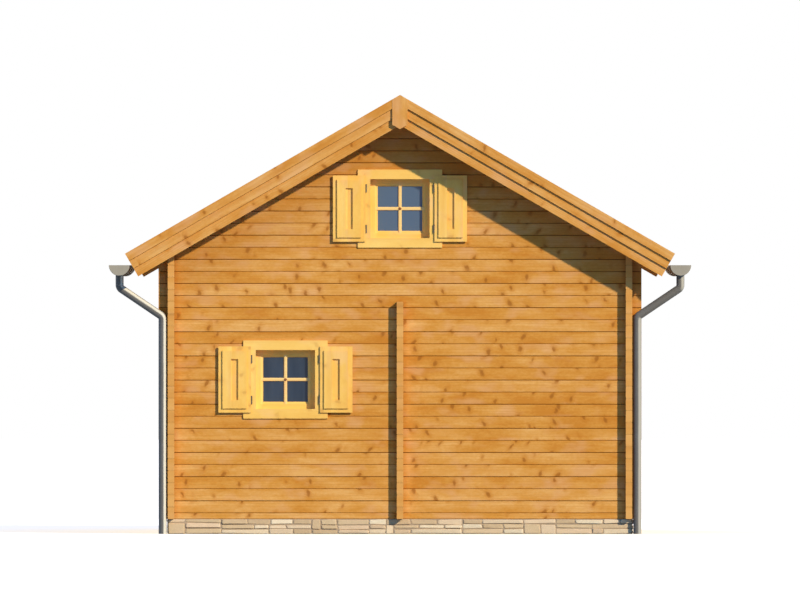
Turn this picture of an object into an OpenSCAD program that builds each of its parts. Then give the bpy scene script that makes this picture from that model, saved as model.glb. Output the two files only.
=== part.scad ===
// Holiday cabin of notched logs on a stone plinth, with a boarded pitched roof,
// two shuttered windows in the front gable and half round gutters along the eaves.
// Millimetres, Z up, the front gable faces -Y, the origin lies under the middle.

/* [Plan] */
// Width over the outer faces of the side walls
house_w = 5000; // [4700:50:5600]
// Depth over the outer faces of the gable walls
house_d = 5800; // [5000:50:7000]
// Height of the stone plinth
plinth_h = 160; // [120:5:220]
// Height of the side walls above the plinth, at their outer face
side_wall_h = 3065; // [2960:5:3250]

/* [Logs] */
// Thickness of a log
log_t = 70; // [60:1:80]
// Height of one course of logs
course_h = 130; // [125:1:136]
// Length that every log runs past its corner
corner_out = 100; // [80:5:140]
// Bevel along the outer edges of a log
log_bevel = 6; // [3:0.5:9]
// Width of each of the two tongues on a log
tongue_w = 12; // [8:0.5:14]
// Height of a tongue
tongue_h = 10; // [6:0.5:14]
// Distance of a tongue from the middle of the log
tongue_off = 14; // [12:0.5:16]

/* [Roof] */
// Pitch of the roof in degrees
pitch = 30; // [28:0.5:32]
// How far the roof edge runs past the side walls
eave_out = 457; // [400:5:520]
// How far the roof boards run past the gable walls
gable_out = 350; // [280:5:420]
// Thickness of the roof boards
deck_t = 28; // [20:1:36]
// Thickness of the roof covering
cover_t = 8; // [5:0.5:12]
// How far the edge boards stand above the covering
upstand = 12; // [10:0.5:20]
// Thickness of each edge board
edge_t = 20; // [16:1:26]
// Height of the lower edge board, square to the slope
edge_low_h = 283; // [270:1:300]
// Height of the middle edge board
edge_mid_h = 184; // [160:1:200]
// Height of the upper edge strip
edge_top_h = 88; // [70:1:110]
// Width of the plate at the apex of the edge boards
plate_w = 166; // [130:2:220]
// Height of the sides of the apex plate
plate_side_h = 273; // [250:1:300]
// Thickness of the apex plate
plate_t = 24; // [22:1:30]
// Height of the board along the eaves, square to the slope
eave_board_h = 190; // [170:1:220]
// Width of the ridge purlin
ridge_w = 100; // [80:2:130]
// Height of the ridge purlin
ridge_h = 200; // [160:5:230]
// Width of a side purlin
purlin_w = 90; // [70:2:110]
// Height of a side purlin
purlin_h = 180; // [150:5:190]
// Distance of the side purlins from the middle
purlin_x = 1250; // [1100:10:1400]
// Width of each wing of the ridge cap
cap_wing = 130; // [100:5:180]
// Thickness of the ridge cap
cap_t = 6; // [4:0.5:8]

/* [Windows] */
// Width of a window opening
win_w = 637; // [600:1:660]
// Height of a window opening
win_h = 635; // [600:1:660]
// Distance of the lower windows from the middle of their room, towards the inner wall
win_in = 17; // [0:1:150]
// Height of the middle of a lower window
win_low_z = 1662; // [1500:5:1750]
// Place of an upper window between the loft floor and the roof over its shutters, as a share
win_up_share = 0.5252; // [0.48:0.01:0.56]
// Width of the casing boards beside a window
casing_side_w = 136; // [120:1:150]
// Width of the casing boards over and under a window
casing_head_h = 103; // [80:1:120]
// Thickness of the casing boards
casing_t = 18; // [14:1:22]
// Thickness of the window frame boards
jamb_t = 24; // [18:1:30]
// Depth of the window frame from the wall face
jamb_d = 138; // [132:1:150]
// Distance of the sash behind the wall face
sash_set = 84; // [70:1:90]
// Width of the sash members
sash_w = 78; // [60:1:90]
// Thickness of the sash
sash_t = 40; // [38:1:44]
// Width of the bevel round the glass
bead_w = 27; // [18:1:32]
// Depth of the bevel round the glass
bead_d = 14; // [8:0.5:14]
// Thickness of the glass
pane_t = 6; // [4:0.5:10]
// How far the glass runs into the sash
pane_bite = 9; // [6:0.5:14]
// Width of the stop behind the sash
stop_w = 12; // [8:1:18]

/* [Shutters] */
// Width of a shutter
shutter_w = 350; // [340:1:352]
// Height of a shutter
shutter_h = 713; // [690:1:730]
// Thickness of the base board of a shutter
shutter_t = 15; // [12:0.5:16]
// Height of the raised panel
panel_h = 624; // [560:1:624]
// Width of the raised panel
panel_w = 263; // [230:1:264]
// Thickness of the raised panel
panel_t = 18; // [14:0.5:20]
// Width of the slot in the panel
slot_w = 75; // [50:1:90]
// Height of the slot in the panel
slot_h = 440; // [380:1:480]
// Depth of the slot in the panel
slot_d = 22; // [18:0.5:26]
// Distance of the hinge axis from the middle of the window
hinge_x = 364; // [362:0.5:372]
// Gap between a shutter and the casing behind it
hinge_gap = 5; // [5:0.5:9]
// Distance of the hinges above and below the middle of the window
hinge_z = 219; // [180:1:250]
// Radius of a hinge knuckle
knuckle_r = 7; // [6.5:0.1:7.4]
// Length of a whole hinge knuckle
knuckle_h = 90; // [70:1:110]
// Radius of a hinge pin
pin_r = 4; // [3:0.1:4.5]
// Reach of a hinge leaf from its axis
leaf_w = 35; // [28:1:42]
// Thickness of a hinge leaf
leaf_t = 2; // [1.5:0.1:3]
// Distance of a leaf from the ends of its knuckle
leaf_end = 3; // [2:0.5:5]
// Thickness of the closed end of a knuckle
knuckle_cap = 3; // [2:0.5:5]
// Width of the post that carries a hinge pin
post_w = 10; // [8:0.5:13]

/* [Door] */
// Width of the door leaf
door_w = 860; // [760:10:900]
// Height of the door leaf
door_h = 1960; // [1900:5:2000]
// Thickness of the door leaf
door_t = 44; // [36:1:50]
// Thickness of the door frame
door_jamb_t = 40; // [30:1:50]
// Distance of the door leaf behind the wall face
door_set = 20; // [14:1:26]
// Distance of the door handle from the edge of the leaf
handle_in = 60; // [50:1:80]
// Height of the door handle above the floor
handle_z = 1020; // [950:10:1100]
// Length of the door handle
handle_l = 134; // [110:1:150]
// Height of the bar of the door handle
handle_h = 20; // [16:1:24]
// Thickness of the bar of the door handle
handle_t = 10; // [8:0.5:14]
// How far the door handle stands off its plate
handle_out = 44; // [38:1:60]
// Radius of the neck of the door handle
neck_r = 9; // [7:0.5:9.5]
// Width of the plate under the door handle
lock_w = 40; // [34:1:50]
// Height of the plate under the door handle
lock_h = 220; // [180:5:260]
// How far that plate runs below the handle
lock_low = 130; // [110:5:150]
// Thickness of the plate under the door handle
lock_t = 6; // [3:0.5:8]
// Width of the doorway in the inner wall
inner_door_w = 800; // [700:10:900]
// Distance of that doorway behind the middle
inner_door_y = 1100; // [700:10:1300]
// Courses of the inner wall over that doorway
inner_head_n = 2; // [1:1:3]
// Thickness of the lining of that doorway
lining_t = 20; // [15:1:30]
// How far that lining stands out of the wall
lining_out = 10; // [5:1:20]

/* [Floors] */
// Height of the ground floor joists
joist_h = 70; // [60:1:90]
// Width of the ground floor joists
joist_w = 60; // [45:1:80]
// Distance between the ground floor joists
joist_pitch = 600; // [450:10:700]
// Thickness of the ground floor boards
board_t = 28; // [20:1:34]
// Courses of the inner wall, up to the loft
loft_courses = 18; // [17:1:18]
// Height of the loft joists
loft_joist_h = 145; // [120:5:170]
// Width of the loft joists
loft_joist_w = 80; // [60:2:100]
// Distance between the loft joists
loft_pitch = 900; // [860:10:920]
// Width of the bearers under the loft joists
bearer_w = 45; // [35:1:60]
// Height of the bearers under the loft joists
bearer_h = 120; // [90:5:160]
// Length of the hatch in the loft floor
hatch_l = 1000; // [800:10:1200]
// Distance of the hatch from the middle
hatch_x = 600; // [400:10:800]

/* [Gutters] */
// Outer radius of the gutter
gutter_r = 111; // [90:1:120]
// Wall of the gutter
gutter_t = 2; // [1.5:0.1:3]
// Height of the roof edge above the gutter rim
gutter_drop = 124; // [110:1:140]
// Gap between the eaves board and the gutter rim
gutter_gap = 22; // [18:1:32]
// Number of gutter brackets on a side
brackets = 8; // [5:1:10]
// Distance of the outer brackets from the ends of the roof
bracket_end = 200; // [150:10:280]
// Width of a gutter bracket
strap_w = 24; // [18:1:34]
// Thickness of a gutter bracket
strap_t = 4; // [3:0.5:6]
// Height of the arm of a gutter bracket
arm_h = 34; // [26:1:44]
// Radius of the downpipe
pipe_r = 43.5; // [35:0.5:46]
// Wall of the downpipe
pipe_t = 2; // [1.5:0.1:3]
// Gap between the downpipe and the corner logs
pipe_gap = 11.5; // [8:0.5:16]
// Length from the gutter down to the upper bend
stub_l = 131; // [115:1:160]
// Slope of the pipe between the bends, in degrees
swan_deg = 34; // [30:1:40]
// Radius of the pipe bends
bend_r = 56; // [50:1:90]

/* [Fits] */
// Gap between pieces that lie on each other
fit = 0.3; // [0.2:0.05:0.5]
// Play of a log in its notch
notch_play = 0.4; // [0.3:0.05:0.8]
// Play of a tongue in its groove
tongue_play = 0.5; // [0.3:0.05:1]
// Room above a tongue in its groove
tongue_room = 1; // [0.5:0.1:2]
// Room around a window or door frame in the wall
frame_play = 0.6; // [0.4:0.1:0.9]
// Play of a hinge pin
pin_play = 0.1; // [0.05:0.01:0.15]
// Room above a hinge pin in its knuckle
pin_room = 4; // [2:0.5:8]
// Gap between a hinge knuckle and its shutter
shutter_gap = 1; // [0.5:0.1:2]
// Gap between the panel of a closed shutter and the window frame
reveal_gap = 5.5; // [5:0.1:7]
// Gap between the floors and the walls
floor_gap = 4; // [3:0.5:8]

/* [Hidden] */
$fn = 64;

wood = [0.84, 0.6, 0.34];
pale_wood = [0.95, 0.78, 0.45];
stone = [0.9, 0.83, 0.7];
slate = [0.3, 0.31, 0.33];
zinc = [0.62, 0.63, 0.65];
iron = [0.2, 0.17, 0.15];
glass_blue = [0.35, 0.4, 0.5];

half_w = house_w / 2;
half_d = house_d / 2;
slope = tan(pitch);
steep = cos(pitch);
quarter = course_h / 4;
roof_build = upstand + cover_t + deck_t;
ridge_z = plinth_h + side_wall_h + half_w * slope + roof_build / steep;
eave_x = half_w + eave_out;
eave_len = eave_x / steep;
eave_z = ridge_z - eave_x * slope;
deck_y = half_d + gable_out;
inner_x = half_w - log_t;
inner_y = half_d - log_t;
gable_base = plinth_h + course_h / 2;
side_n = round((side_wall_h + log_t * slope) / course_h);
gable_n = round((under(ridge_w / 2) - gable_base) / course_h);
loft_z = plinth_h + loft_courses * course_h;
floor_z = plinth_h + joist_h + board_t;
hinge_y = casing_t + hinge_gap + shutter_t / 2;
hinge_edge = knuckle_r + shutter_gap;
panel_edge = hinge_x - win_w / 2 + reveal_gap;
bore_l = knuckle_h / 2 - knuckle_cap;
loft_top = loft_z + loft_joist_h + board_t;
win_x = half_w / 2 - win_in;
win_up_z = loft_top + win_up_share * (under(hinge_x + hinge_edge + shutter_w) - loft_top);
door_x = half_w / 2;
gutter_z = eave_z - gutter_drop;
face_x = eave_x - gutter_drop * slope;
gutter_x = face_x + gutter_gap + gutter_r;
gutter_y = deck_y + 3 * edge_t;
pipe_x = half_w + pipe_gap + pipe_r;
pipe_y = -(half_d + pipe_gap + pipe_r);
bend_deg = 90 - swan_deg;
bend_cut = bend_r * tan(bend_deg / 2);
bend_z1 = gutter_z - gutter_r - stub_l;
bend_z2 = bend_z1 - (gutter_x - pipe_x) * tan(swan_deg);
doorway_top = loft_z - inner_head_n * course_h;
loft_n = floor((inner_y - loft_joist_w / 2) / loft_pitch);
// Reach of a cut past the piece that it cuts, and of one past the whole roof
over = 1;
beyond = 500;

// Height of the underside of the roof boards over a point x
function under(x) = ridge_z - roof_build / steep - abs(x) * slope;

// Point s along the slope from the apex and t square below its top edge
function on_slope(s, t) = [s * steep - t * sin(pitch), ridge_z - s * sin(pitch) - t * steep];

// Point on the vertical plane x, t square below the top edge
function on_plane(x, t) = [x, ridge_z - x * slope - t / steep];

// Box from one corner to the opposite one
module span_box(a, b) {
    translate(a)
        cube(b - a);
}

// Section of a log from z = 0, with its grooves below and its tongues above
module log_section(h, grooved, tongued) {
    r = log_t / 2;
    g = tongue_w / 2 + tongue_play;
    difference() {
        polygon([[-r, log_bevel], [-r + log_bevel, 0], [r - log_bevel, 0], [r, log_bevel],
            [r, h - log_bevel], [r - log_bevel, h], [-r + log_bevel, h], [-r, h - log_bevel]]);
        if (grooved) {
            for (s = [-1, 1])
                translate([s * tongue_off - g, -over])
                    square([2 * g, tongue_h + tongue_room + over]);
        }
    }
    if (tongued) {
        for (s = [-1, 1])
            translate([s * tongue_off - tongue_w / 2, h - over])
                square([tongue_w, tongue_h + over]);
    }
}

// Log along X, centred, from z to z + h
module log_x(len, z, h, grooved = true, tongued = true) {
    translate([-len / 2, 0, z + fit / 2])
        rotate([90, 0, 90])
            linear_extrude(len)
                log_section(h - fit, grooved, tongued);
}

// Log along Y, centred, from z to z + h
module log_y(len, z, h, grooved = true, tongued = true) {
    translate([0, len / 2, z + fit / 2])
        rotate([90, 0, 0])
            linear_extrude(len)
                log_section(h - fit, grooved, tongued);
}

// Space above the underside of the roof boards
module over_roof() {
    b = eave_x + beyond;
    top = ridge_z + beyond;
    translate([0, deck_y + beyond, -fit])
        rotate([90, 0, 0])
            linear_extrude(2 * (deck_y + beyond))
                polygon([[-b, under(b)], [0, under(0)], [b, under(b)], [b, top], [-b, top]]);
}

// Section of the ridge purlin, grown by g
module ridge_section(g) {
    w = ridge_w / 2 + g;
    low = under(0) - ridge_h - g;
    polygon([[-w, low], [w, low], [w, under(w) - fit + g], [0, under(0) - fit + g],
        [-w, under(w) - fit + g]]);
}

// Section of the right side purlin, grown by g
module purlin_section(g) {
    a = purlin_x - purlin_w / 2 - g;
    b = purlin_x + purlin_w / 2 + g;
    low = under(purlin_x) - purlin_h - g;
    polygon([[a, low], [b, low], [b, under(b) - fit + g], [a, under(a) - fit + g]]);
}

module purlin_pockets() {
    translate([0, log_t, 0])
        rotate([90, 0, 0])
            linear_extrude(2 * log_t) {
                ridge_section(fit);
                purlin_section(fit);
                mirror([1, 0])
                    purlin_section(fit);
            }
}

// Notches in a gable log from z to z + h where a crossing wall at x reaches up to top
module gable_notch(x, z, h, top) {
    w = log_t / 2 + notch_play;
    if (z > plinth_h && z - course_h / 2 < top - over)
        span_box([x - w, -log_t, z - over], [x + w, log_t, z + quarter + fit / 2]);
    if (z + h - course_h / 2 < top - over)
        span_box([x - w, -log_t, z + h - quarter - fit / 2], [x + w, log_t, z + h + tongue_h + over]);
}

// Gable wall in its own plane, less the openings given as children
module gable_logs() {
    len = house_w + 2 * corner_out;
    side_top = plinth_h + side_n * course_h;
    difference() {
        log_x(len, plinth_h, course_h / 2, false, true);
        for (s = [-1, 1])
            gable_notch(s * (half_w - log_t / 2), plinth_h, course_h / 2, side_top);
        gable_notch(0, plinth_h, course_h / 2, loft_z);
        children();
    }
    for (i = [0 : gable_n - 1]) {
        z = gable_base + i * course_h;
        h = i == gable_n - 1 ? ridge_z - z : course_h;
        difference() {
            log_x(len, z, h, true, i < gable_n - 1);
            for (s = [-1, 1])
                gable_notch(s * (half_w - log_t / 2), z, h, side_top);
            gable_notch(0, z, h, loft_z);
            if (z + h + tongue_h > under(len / 2) - over)
                over_roof();
            if (z + h + tongue_h > under(purlin_x) - purlin_h - over)
                purlin_pockets();
            children();
        }
    }
}

// Hole in a gable wall for a window at x, z
module window_hole(x, z) {
    g = jamb_t + frame_play;
    span_box([x - win_w / 2 - g, -log_t, z - win_h / 2 - g], [x + win_w / 2 + g, log_t, z + win_h / 2 + g]);
}

// Hole in the back wall for the door
module door_hole() {
    g = door_jamb_t + frame_play;
    span_box([door_x - door_w / 2 - g, -log_t, gable_base],
        [door_x + door_w / 2 + g, log_t, floor_z + door_h + g]);
}

// Notches at both gables in a log along Y from z to z + h
module side_notches(z, h) {
    w = log_t / 2 + notch_play;
    for (s = [-1, 1]) {
        y = s * (half_d - log_t / 2);
        span_box([-log_t, y - w, z - over], [log_t, y + w, z + quarter + fit / 2]);
        span_box([-log_t, y - w, z + 3 * quarter - fit / 2], [log_t, y + w, z + h + tongue_h + over]);
    }
}

// Right side wall
module side_logs() {
    len = house_d + 2 * corner_out;
    for (i = [0 : side_n - 1]) {
        z = plinth_h + i * course_h;
        h = i == side_n - 1 ? side_wall_h + plinth_h + 2 * log_t - z : course_h;
        difference() {
            translate([half_w - log_t / 2, 0, 0])
                difference() {
                    log_y(len, z, h, i > 0, i < side_n - 1);
                    side_notches(z, h);
                }
            if (i >= side_n - 2)
                over_roof();
        }
    }
}

// Frame of boards around an opening w by h, its boards t wide, from y = 0 to d
module board_ring(w, h, t, d) {
    difference() {
        span_box([-w / 2 - t, 0, -h / 2 - t], [w / 2 + t, d, h / 2 + t]);
        span_box([-w / 2, -over, -h / 2], [w / 2, d + over, h / 2]);
    }
}

// The window pieces are drawn about the middle of the opening, y = 0 on the wall face
module window_casing() {
    for (s = [-1, 1]) {
        translate([s * (win_w + casing_side_w) / 2, 0, 0])
            span_box([-casing_side_w / 2, -casing_t, -win_h / 2 + fit],
                [casing_side_w / 2, -fit, win_h / 2 - fit]);
        translate([0, 0, s * (win_h + casing_head_h) / 2])
            span_box([-win_w / 2 - casing_side_w, -casing_t, -casing_head_h / 2],
                [win_w / 2 + casing_side_w, -fit, casing_head_h / 2]);
    }
}

module window_frame() {
    board_ring(win_w, win_h, jamb_t, jamb_d);
    translate([0, sash_set + sash_t + fit, 0])
        board_ring(win_w - 2 * stop_w, win_h - 2 * stop_w, stop_w + over, jamb_d - sash_set - sash_t - fit);
}

module window_sash() {
    difference() {
        translate([0, sash_set, 0])
            board_ring(win_w - 2 * sash_w, win_h - 2 * sash_w, sash_w - fit, sash_t);
        window_pane(fit);
        translate([0, sash_set, 0])
            intersection() {
                bead_prism(win_w / 2 - sash_w, win_h);
                rotate([0, 90, 0])
                    bead_prism(win_h / 2 - sash_w, win_w);
            }
    }
}

// Prism as wide as the glass at its back and as the bevel at its front, upright, its section in the XY plane
module bead_prism(w, len) {
    linear_extrude(len, center = true)
        polygon([[-w - bead_w, -over], [w + bead_w, -over], [w + bead_w, 0], [w, bead_d],
            [-w, bead_d], [-w - bead_w, 0]]);
}

module window_pane(g = 0) {
    w = win_w / 2 - sash_w + pane_bite + g;
    h = win_h / 2 - sash_w + pane_bite + g;
    y = sash_set + sash_t / 2;
    span_box([-w, y - pane_t / 2 - g, -h], [w, y + pane_t / 2 + g, h]);
}

// Puts a window piece at both windows of the front gable
module at_front() {
    translate([-win_x, -half_d, win_low_z])
        children();
    translate([0, -half_d, win_up_z])
        children();
}

// Puts a window piece at both windows of the back gable
module at_back() {
    translate([-win_x, half_d, win_low_z])
        rotate([0, 0, 180])
            children();
    translate([0, half_d, win_up_z])
        rotate([0, 0, 180])
            children();
}

// Right shutter, open, drawn about its hinge axis at the middle of its height
module shutter() {
    difference() {
        union() {
            span_box([hinge_edge, -shutter_t / 2, -shutter_h / 2],
                [hinge_edge + shutter_w, shutter_t / 2, shutter_h / 2]);
            span_box([panel_edge, -shutter_t / 2 - panel_t, -panel_h / 2],
                [panel_edge + panel_w, -shutter_t / 2 + over, panel_h / 2]);
        }
        translate([panel_edge + panel_w / 2, -shutter_t / 2 - panel_t, 0])
            span_box([-slot_w / 2, -over, -slot_h / 2], [slot_w / 2, slot_d, slot_h / 2]);
        for (s = [-1, 1])
            translate([0, 0, s * hinge_z])
                hinge_leaf(fit);
    }
}

// Leaf of a hinge, let into the edge of its shutter
module hinge_leaf(g = 0) {
    span_box([pin_r + over, -leaf_t / 2 - g, leaf_end - g],
        [leaf_w + g, leaf_t / 2 + g, knuckle_h / 2 - leaf_end + g]);
}

// Upper half of a hinge, with its bore
module hinge_eye() {
    difference() {
        union() {
            translate([0, 0, fit])
                cylinder(r = knuckle_r, h = knuckle_h / 2 - fit);
            hinge_leaf();
        }
        translate([0, 0, -over])
            cylinder(r = pin_r + pin_play, h = bore_l + over);
    }
}

// Lower half of a hinge with its pin, on a post from the casing
module hinge_pin() {
    translate([0, 0, -knuckle_h / 2])
        cylinder(r = knuckle_r, h = knuckle_h / 2);
    translate([0, 0, -over])
        cylinder(r = pin_r, h = bore_l - pin_room + over);
    span_box([-post_w / 2, 0, -knuckle_h / 2], [post_w / 2, hinge_y - casing_t - fit, -leaf_end]);
}

// Puts a shutter piece at the hinge axis of the window at x, z, mirrored for the left one
module at_hinge(x, z, left) {
    translate([x, -half_d - hinge_y, z])
        mirror([left ? 1 : 0, 0, 0])
            translate([hinge_x, 0, 0])
                children();
}

// Both hinge pieces of one shutter
module hinge_pair() {
    for (s = [-1, 1])
        translate([0, 0, s * hinge_z])
            children();
}

// Right hand slab of the roof from t0 to t1 below the top edge, from plane x to s
module slope_slab(x, s, t0, t1, y0, y1) {
    translate([0, y1, 0])
        rotate([90, 0, 0])
            linear_extrude(y1 - y0)
                polygon([on_plane(x, t0), on_slope(s, t0), on_slope(s, t1), on_plane(x, t1)]);
}

// Piece on the right and its mirror image on the left
module both_sides() {
    children();
    mirror([1, 0, 0])
        children();
}

// Edge boards of the front, k boards out from the roof boards
module edge_pair(x, h, k) {
    y = -deck_y - k * edge_t;
    both_sides()
        slope_slab(x, eave_len, 0, h, y - edge_t + (k < 2 ? fit : 0), y);
}

module apex_plate() {
    y = -deck_y - 2 * edge_t;
    w = plate_w / 2;
    low = ridge_z - w * slope - plate_side_h;
    translate([0, y, 0])
        rotate([90, 0, 0])
            linear_extrude(plate_t)
                polygon([[0, ridge_z], [-w, ridge_z - w * slope], [-w, low], [0, low - w * slope],
                    [w, low], [w, ridge_z - w * slope]]);
}

// Right gutter, its end caps and its outlet
module gutter() {
    r = gutter_r;
    difference() {
        translate([gutter_x, gutter_y, gutter_z])
            rotate([90, 0, 0])
                cylinder(r = r, h = 2 * gutter_y);
        translate([gutter_x, gutter_y - gutter_t, gutter_z])
            rotate([90, 0, 0])
                cylinder(r = r - gutter_t, h = 2 * gutter_y - 2 * gutter_t);
        span_box([gutter_x - r - over, -gutter_y - over, gutter_z],
            [gutter_x + r + over, gutter_y + over, gutter_z + r + over]);
        translate([gutter_x, pipe_y, gutter_z - r - over])
            cylinder(r = pipe_r - pipe_t, h = r);
    }
}

// Strap under the right gutter at y, with its arm to the eaves board
module gutter_bracket(y) {
    r = gutter_r + fit;
    w = strap_w / 2;
    b = r + strap_t + over;
    difference() {
        translate([gutter_x, y + w, gutter_z])
            rotate([90, 0, 0])
                cylinder(r = r + strap_t, h = strap_w);
        translate([gutter_x, y + w + over, gutter_z])
            rotate([90, 0, 0])
                cylinder(r = r, h = strap_w + 2 * over);
        span_box([gutter_x - b, y - w - over, gutter_z], [gutter_x + b, y + w + over, gutter_z + b]);
    }
    translate([0, y + w, 0])
        rotate([90, 0, 0])
            linear_extrude(strap_w)
                polygon([[face_x + fit / steep, gutter_z],
                    [face_x - arm_h * slope + fit / steep, gutter_z - arm_h],
                    [gutter_x - r - over, gutter_z - arm_h],
                    [gutter_x - r - over, gutter_z]]);
}

// Straight length of pipe from z = 0 up to h
module pipe_run(h) {
    difference() {
        cylinder(r = pipe_r, h = h);
        translate([0, 0, -over])
            cylinder(r = pipe_r - pipe_t, h = h + 2 * over);
    }
}

// Bend of the pipe in the XZ plane, from angle a over the bend angle
module pipe_bend(a) {
    rotate([90, 0, 0])
        rotate([0, 0, a])
            rotate_extrude(angle = bend_deg)
                translate([bend_r, 0])
                    difference() {
                        circle(r = pipe_r);
                        circle(r = pipe_r - pipe_t);
                    }
}

// Right downpipe with its swan neck
module downpipe() {
    run = (gutter_x - pipe_x) / cos(swan_deg) - 2 * bend_cut - 2 * fit;
    top = bend_z1 + bend_cut + fit;
    translate([0, pipe_y, 0]) {
        difference() {
            translate([gutter_x, 0, top])
                pipe_run(gutter_z - gutter_r / 2 - top);
            translate([gutter_x, 2 * pipe_r, gutter_z])
                rotate([90, 0, 0])
                    cylinder(r = gutter_r + fit, h = 4 * pipe_r);
        }
        translate([gutter_x - bend_r, 0, bend_z1 + bend_cut])
            pipe_bend(-bend_deg);
        translate([pipe_x, 0, bend_z2])
            rotate([0, bend_deg, 0])
                translate([0, 0, bend_cut + fit])
                    pipe_run(run);
        translate([pipe_x + bend_r, 0, bend_z2 - bend_cut])
            pipe_bend(180 - bend_deg);
        translate([pipe_x, 0, 0])
            pipe_run(bend_z2 - bend_cut - fit);
    }
}

module plinth() {
    color(stone)
        span_box([-half_w, -half_d, 0], [half_w, half_d, plinth_h]);
}

module floor_joists() {
    x0 = log_t / 2 + floor_gap;
    x1 = inner_x - floor_gap;
    n = floor(2 * (inner_y - joist_w) / joist_pitch);
    color(wood)
        for (i = [0 : n], s = [-1, 1])
            translate([s * (x0 + x1) / 2, (i - n / 2) * joist_pitch, plinth_h + (joist_h + fit) / 2])
                cube([x1 - x0, joist_w, joist_h - fit], center = true);
}

module floor_boards() {
    x0 = log_t / 2 + floor_gap;
    y = inner_y - floor_gap;
    color(wood)
        both_sides()
            span_box([x0, -y, floor_z - board_t + fit], [inner_x - floor_gap, y, floor_z]);
}

module front_wall_logs() {
    color(wood)
        translate([0, -half_d + log_t / 2, 0])
            gable_logs() {
                window_hole(-win_x, win_low_z);
                window_hole(0, win_up_z);
            }
}

module back_wall_logs() {
    color(wood)
        translate([0, half_d - log_t / 2, 0])
            gable_logs() {
                window_hole(-win_x, win_low_z);
                window_hole(0, win_up_z);
                door_hole();
            }
}

module left_wall_logs() {
    color(wood)
        mirror([1, 0, 0])
            side_logs();
}

module right_wall_logs() {
    color(wood)
        side_logs();
}

module partition_logs() {
    len = house_d + 2 * corner_out;
    w = inner_door_w / 2 + lining_t + frame_play;
    color(wood)
        for (i = [0 : loft_courses - 1]) {
            z = plinth_h + i * course_h;
            difference() {
                log_y(len, z, course_h, i > 0, i < loft_courses - 1);
                side_notches(z, course_h);
                span_box([-log_t, inner_door_y - w, plinth_h + course_h],
                    [log_t, inner_door_y + w, doorway_top]);
            }
        }
}

module doorway_lining() {
    w = inner_door_w / 2;
    b = log_t / 2 + lining_out;
    top = doorway_top - fit;
    color(pale_wood)
        difference() {
            span_box([-b, inner_door_y - w - lining_t, plinth_h + course_h + fit],
                [b, inner_door_y + w + lining_t, top]);
            span_box([-b - over, inner_door_y - w, plinth_h], [b + over, inner_door_y + w, top - lining_t]);
        }
}

module loft_bearers() {
    y = inner_y - floor_gap;
    color(wood)
        both_sides()
            span_box([inner_x - bearer_w, -y, loft_z - bearer_h], [inner_x - fit, y, loft_z - fit]);
}

module loft_joists() {
    color(wood)
        for (i = [-loft_n : loft_n])
            translate([0, i * loft_pitch, loft_z + loft_joist_h / 2])
                cube([2 * inner_x - 2 * fit, loft_joist_w, loft_joist_h - fit], center = true);
}

// Loft floor in four fields around its hatch
module loft_floor() {
    z = loft_top - board_t;
    x = inner_x - floor_gap;
    y = inner_y - floor_gap;
    h0 = loft_joist_w / 2 + loft_pitch;
    h1 = 2 * loft_pitch - loft_joist_w / 2;
    color(wood) {
        span_box([-x, -y, z], [x, h0, z + board_t]);
        span_box([-x, h1, z], [x, y, z + board_t]);
        span_box([-x, h0 + fit, z], [-hatch_x - hatch_l, h1 - fit, z + board_t]);
        span_box([-hatch_x, h0 + fit, z], [x, h1 - fit, z + board_t]);
    }
}

module ridge_purlin() {
    color(wood)
        translate([0, deck_y - fit, 0])
            rotate([90, 0, 0])
                linear_extrude(2 * (deck_y - fit))
                    ridge_section(0);
}

module side_purlins() {
    color(wood)
        both_sides()
            translate([0, deck_y - fit, 0])
                rotate([90, 0, 0])
                    linear_extrude(2 * (deck_y - fit))
                        purlin_section(0);
}

module right_roof_boards() {
    color(wood)
        slope_slab(fit, eave_len - edge_t, upstand + cover_t, roof_build, -deck_y + fit, deck_y - fit);
}

module left_roof_boards() {
    mirror([1, 0, 0])
        right_roof_boards();
}

module right_roof_covering() {
    color(slate)
        slope_slab(fit, eave_len, upstand, upstand + cover_t - fit, -deck_y + fit, deck_y - fit);
}

module left_roof_covering() {
    mirror([1, 0, 0])
        right_roof_covering();
}

module ridge_cap() {
    t0 = upstand - fit - cap_t;
    t1 = upstand - fit;
    a = on_slope(cap_wing, t0);
    b = on_slope(cap_wing, t1);
    p = on_plane(0, t0);
    q = on_plane(0, t1);
    color(slate)
        translate([0, deck_y - fit, 0])
            rotate([90, 0, 0])
                linear_extrude(2 * (deck_y - fit))
                    polygon([[-a[0], a[1]], p, a, b, q, [-b[0], b[1]]]);
}

module front_edge_boards() {
    color(wood)
        edge_pair(fit, edge_low_h, 0);
}

module front_edge_middles() {
    color(wood)
        edge_pair(fit, edge_mid_h, 1);
}

module front_edge_strips() {
    color(wood)
        edge_pair(plate_w / 2 + fit, edge_top_h, 2);
}

module front_apex_plate() {
    color(wood)
        apex_plate();
}

module back_edge_boards() {
    mirror([0, 1, 0])
        front_edge_boards();
}

module back_edge_middles() {
    mirror([0, 1, 0])
        front_edge_middles();
}

module back_edge_strips() {
    mirror([0, 1, 0])
        front_edge_strips();
}

module back_apex_plate() {
    mirror([0, 1, 0])
        front_apex_plate();
}

module eaves_boards() {
    s0 = eave_len - edge_t + fit;
    t0 = upstand + cover_t;
    t1 = t0 + eave_board_h;
    color(wood)
        both_sides()
            translate([0, deck_y - fit, 0])
                rotate([90, 0, 0])
                    linear_extrude(2 * (deck_y - fit))
                        polygon([on_slope(s0, t0), on_slope(eave_len, t0),
                            on_slope(eave_len, t1), on_slope(s0, t1)]);
}

module right_gutter() {
    color(zinc)
        gutter();
}

module left_gutter() {
    color(zinc)
        mirror([1, 0, 0])
            gutter();
}

module gutter_brackets() {
    step = 2 * (deck_y - bracket_end) / (brackets - 1);
    color(zinc)
        both_sides()
            for (i = [0 : brackets - 1])
                gutter_bracket(-deck_y + bracket_end + i * step);
}

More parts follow.
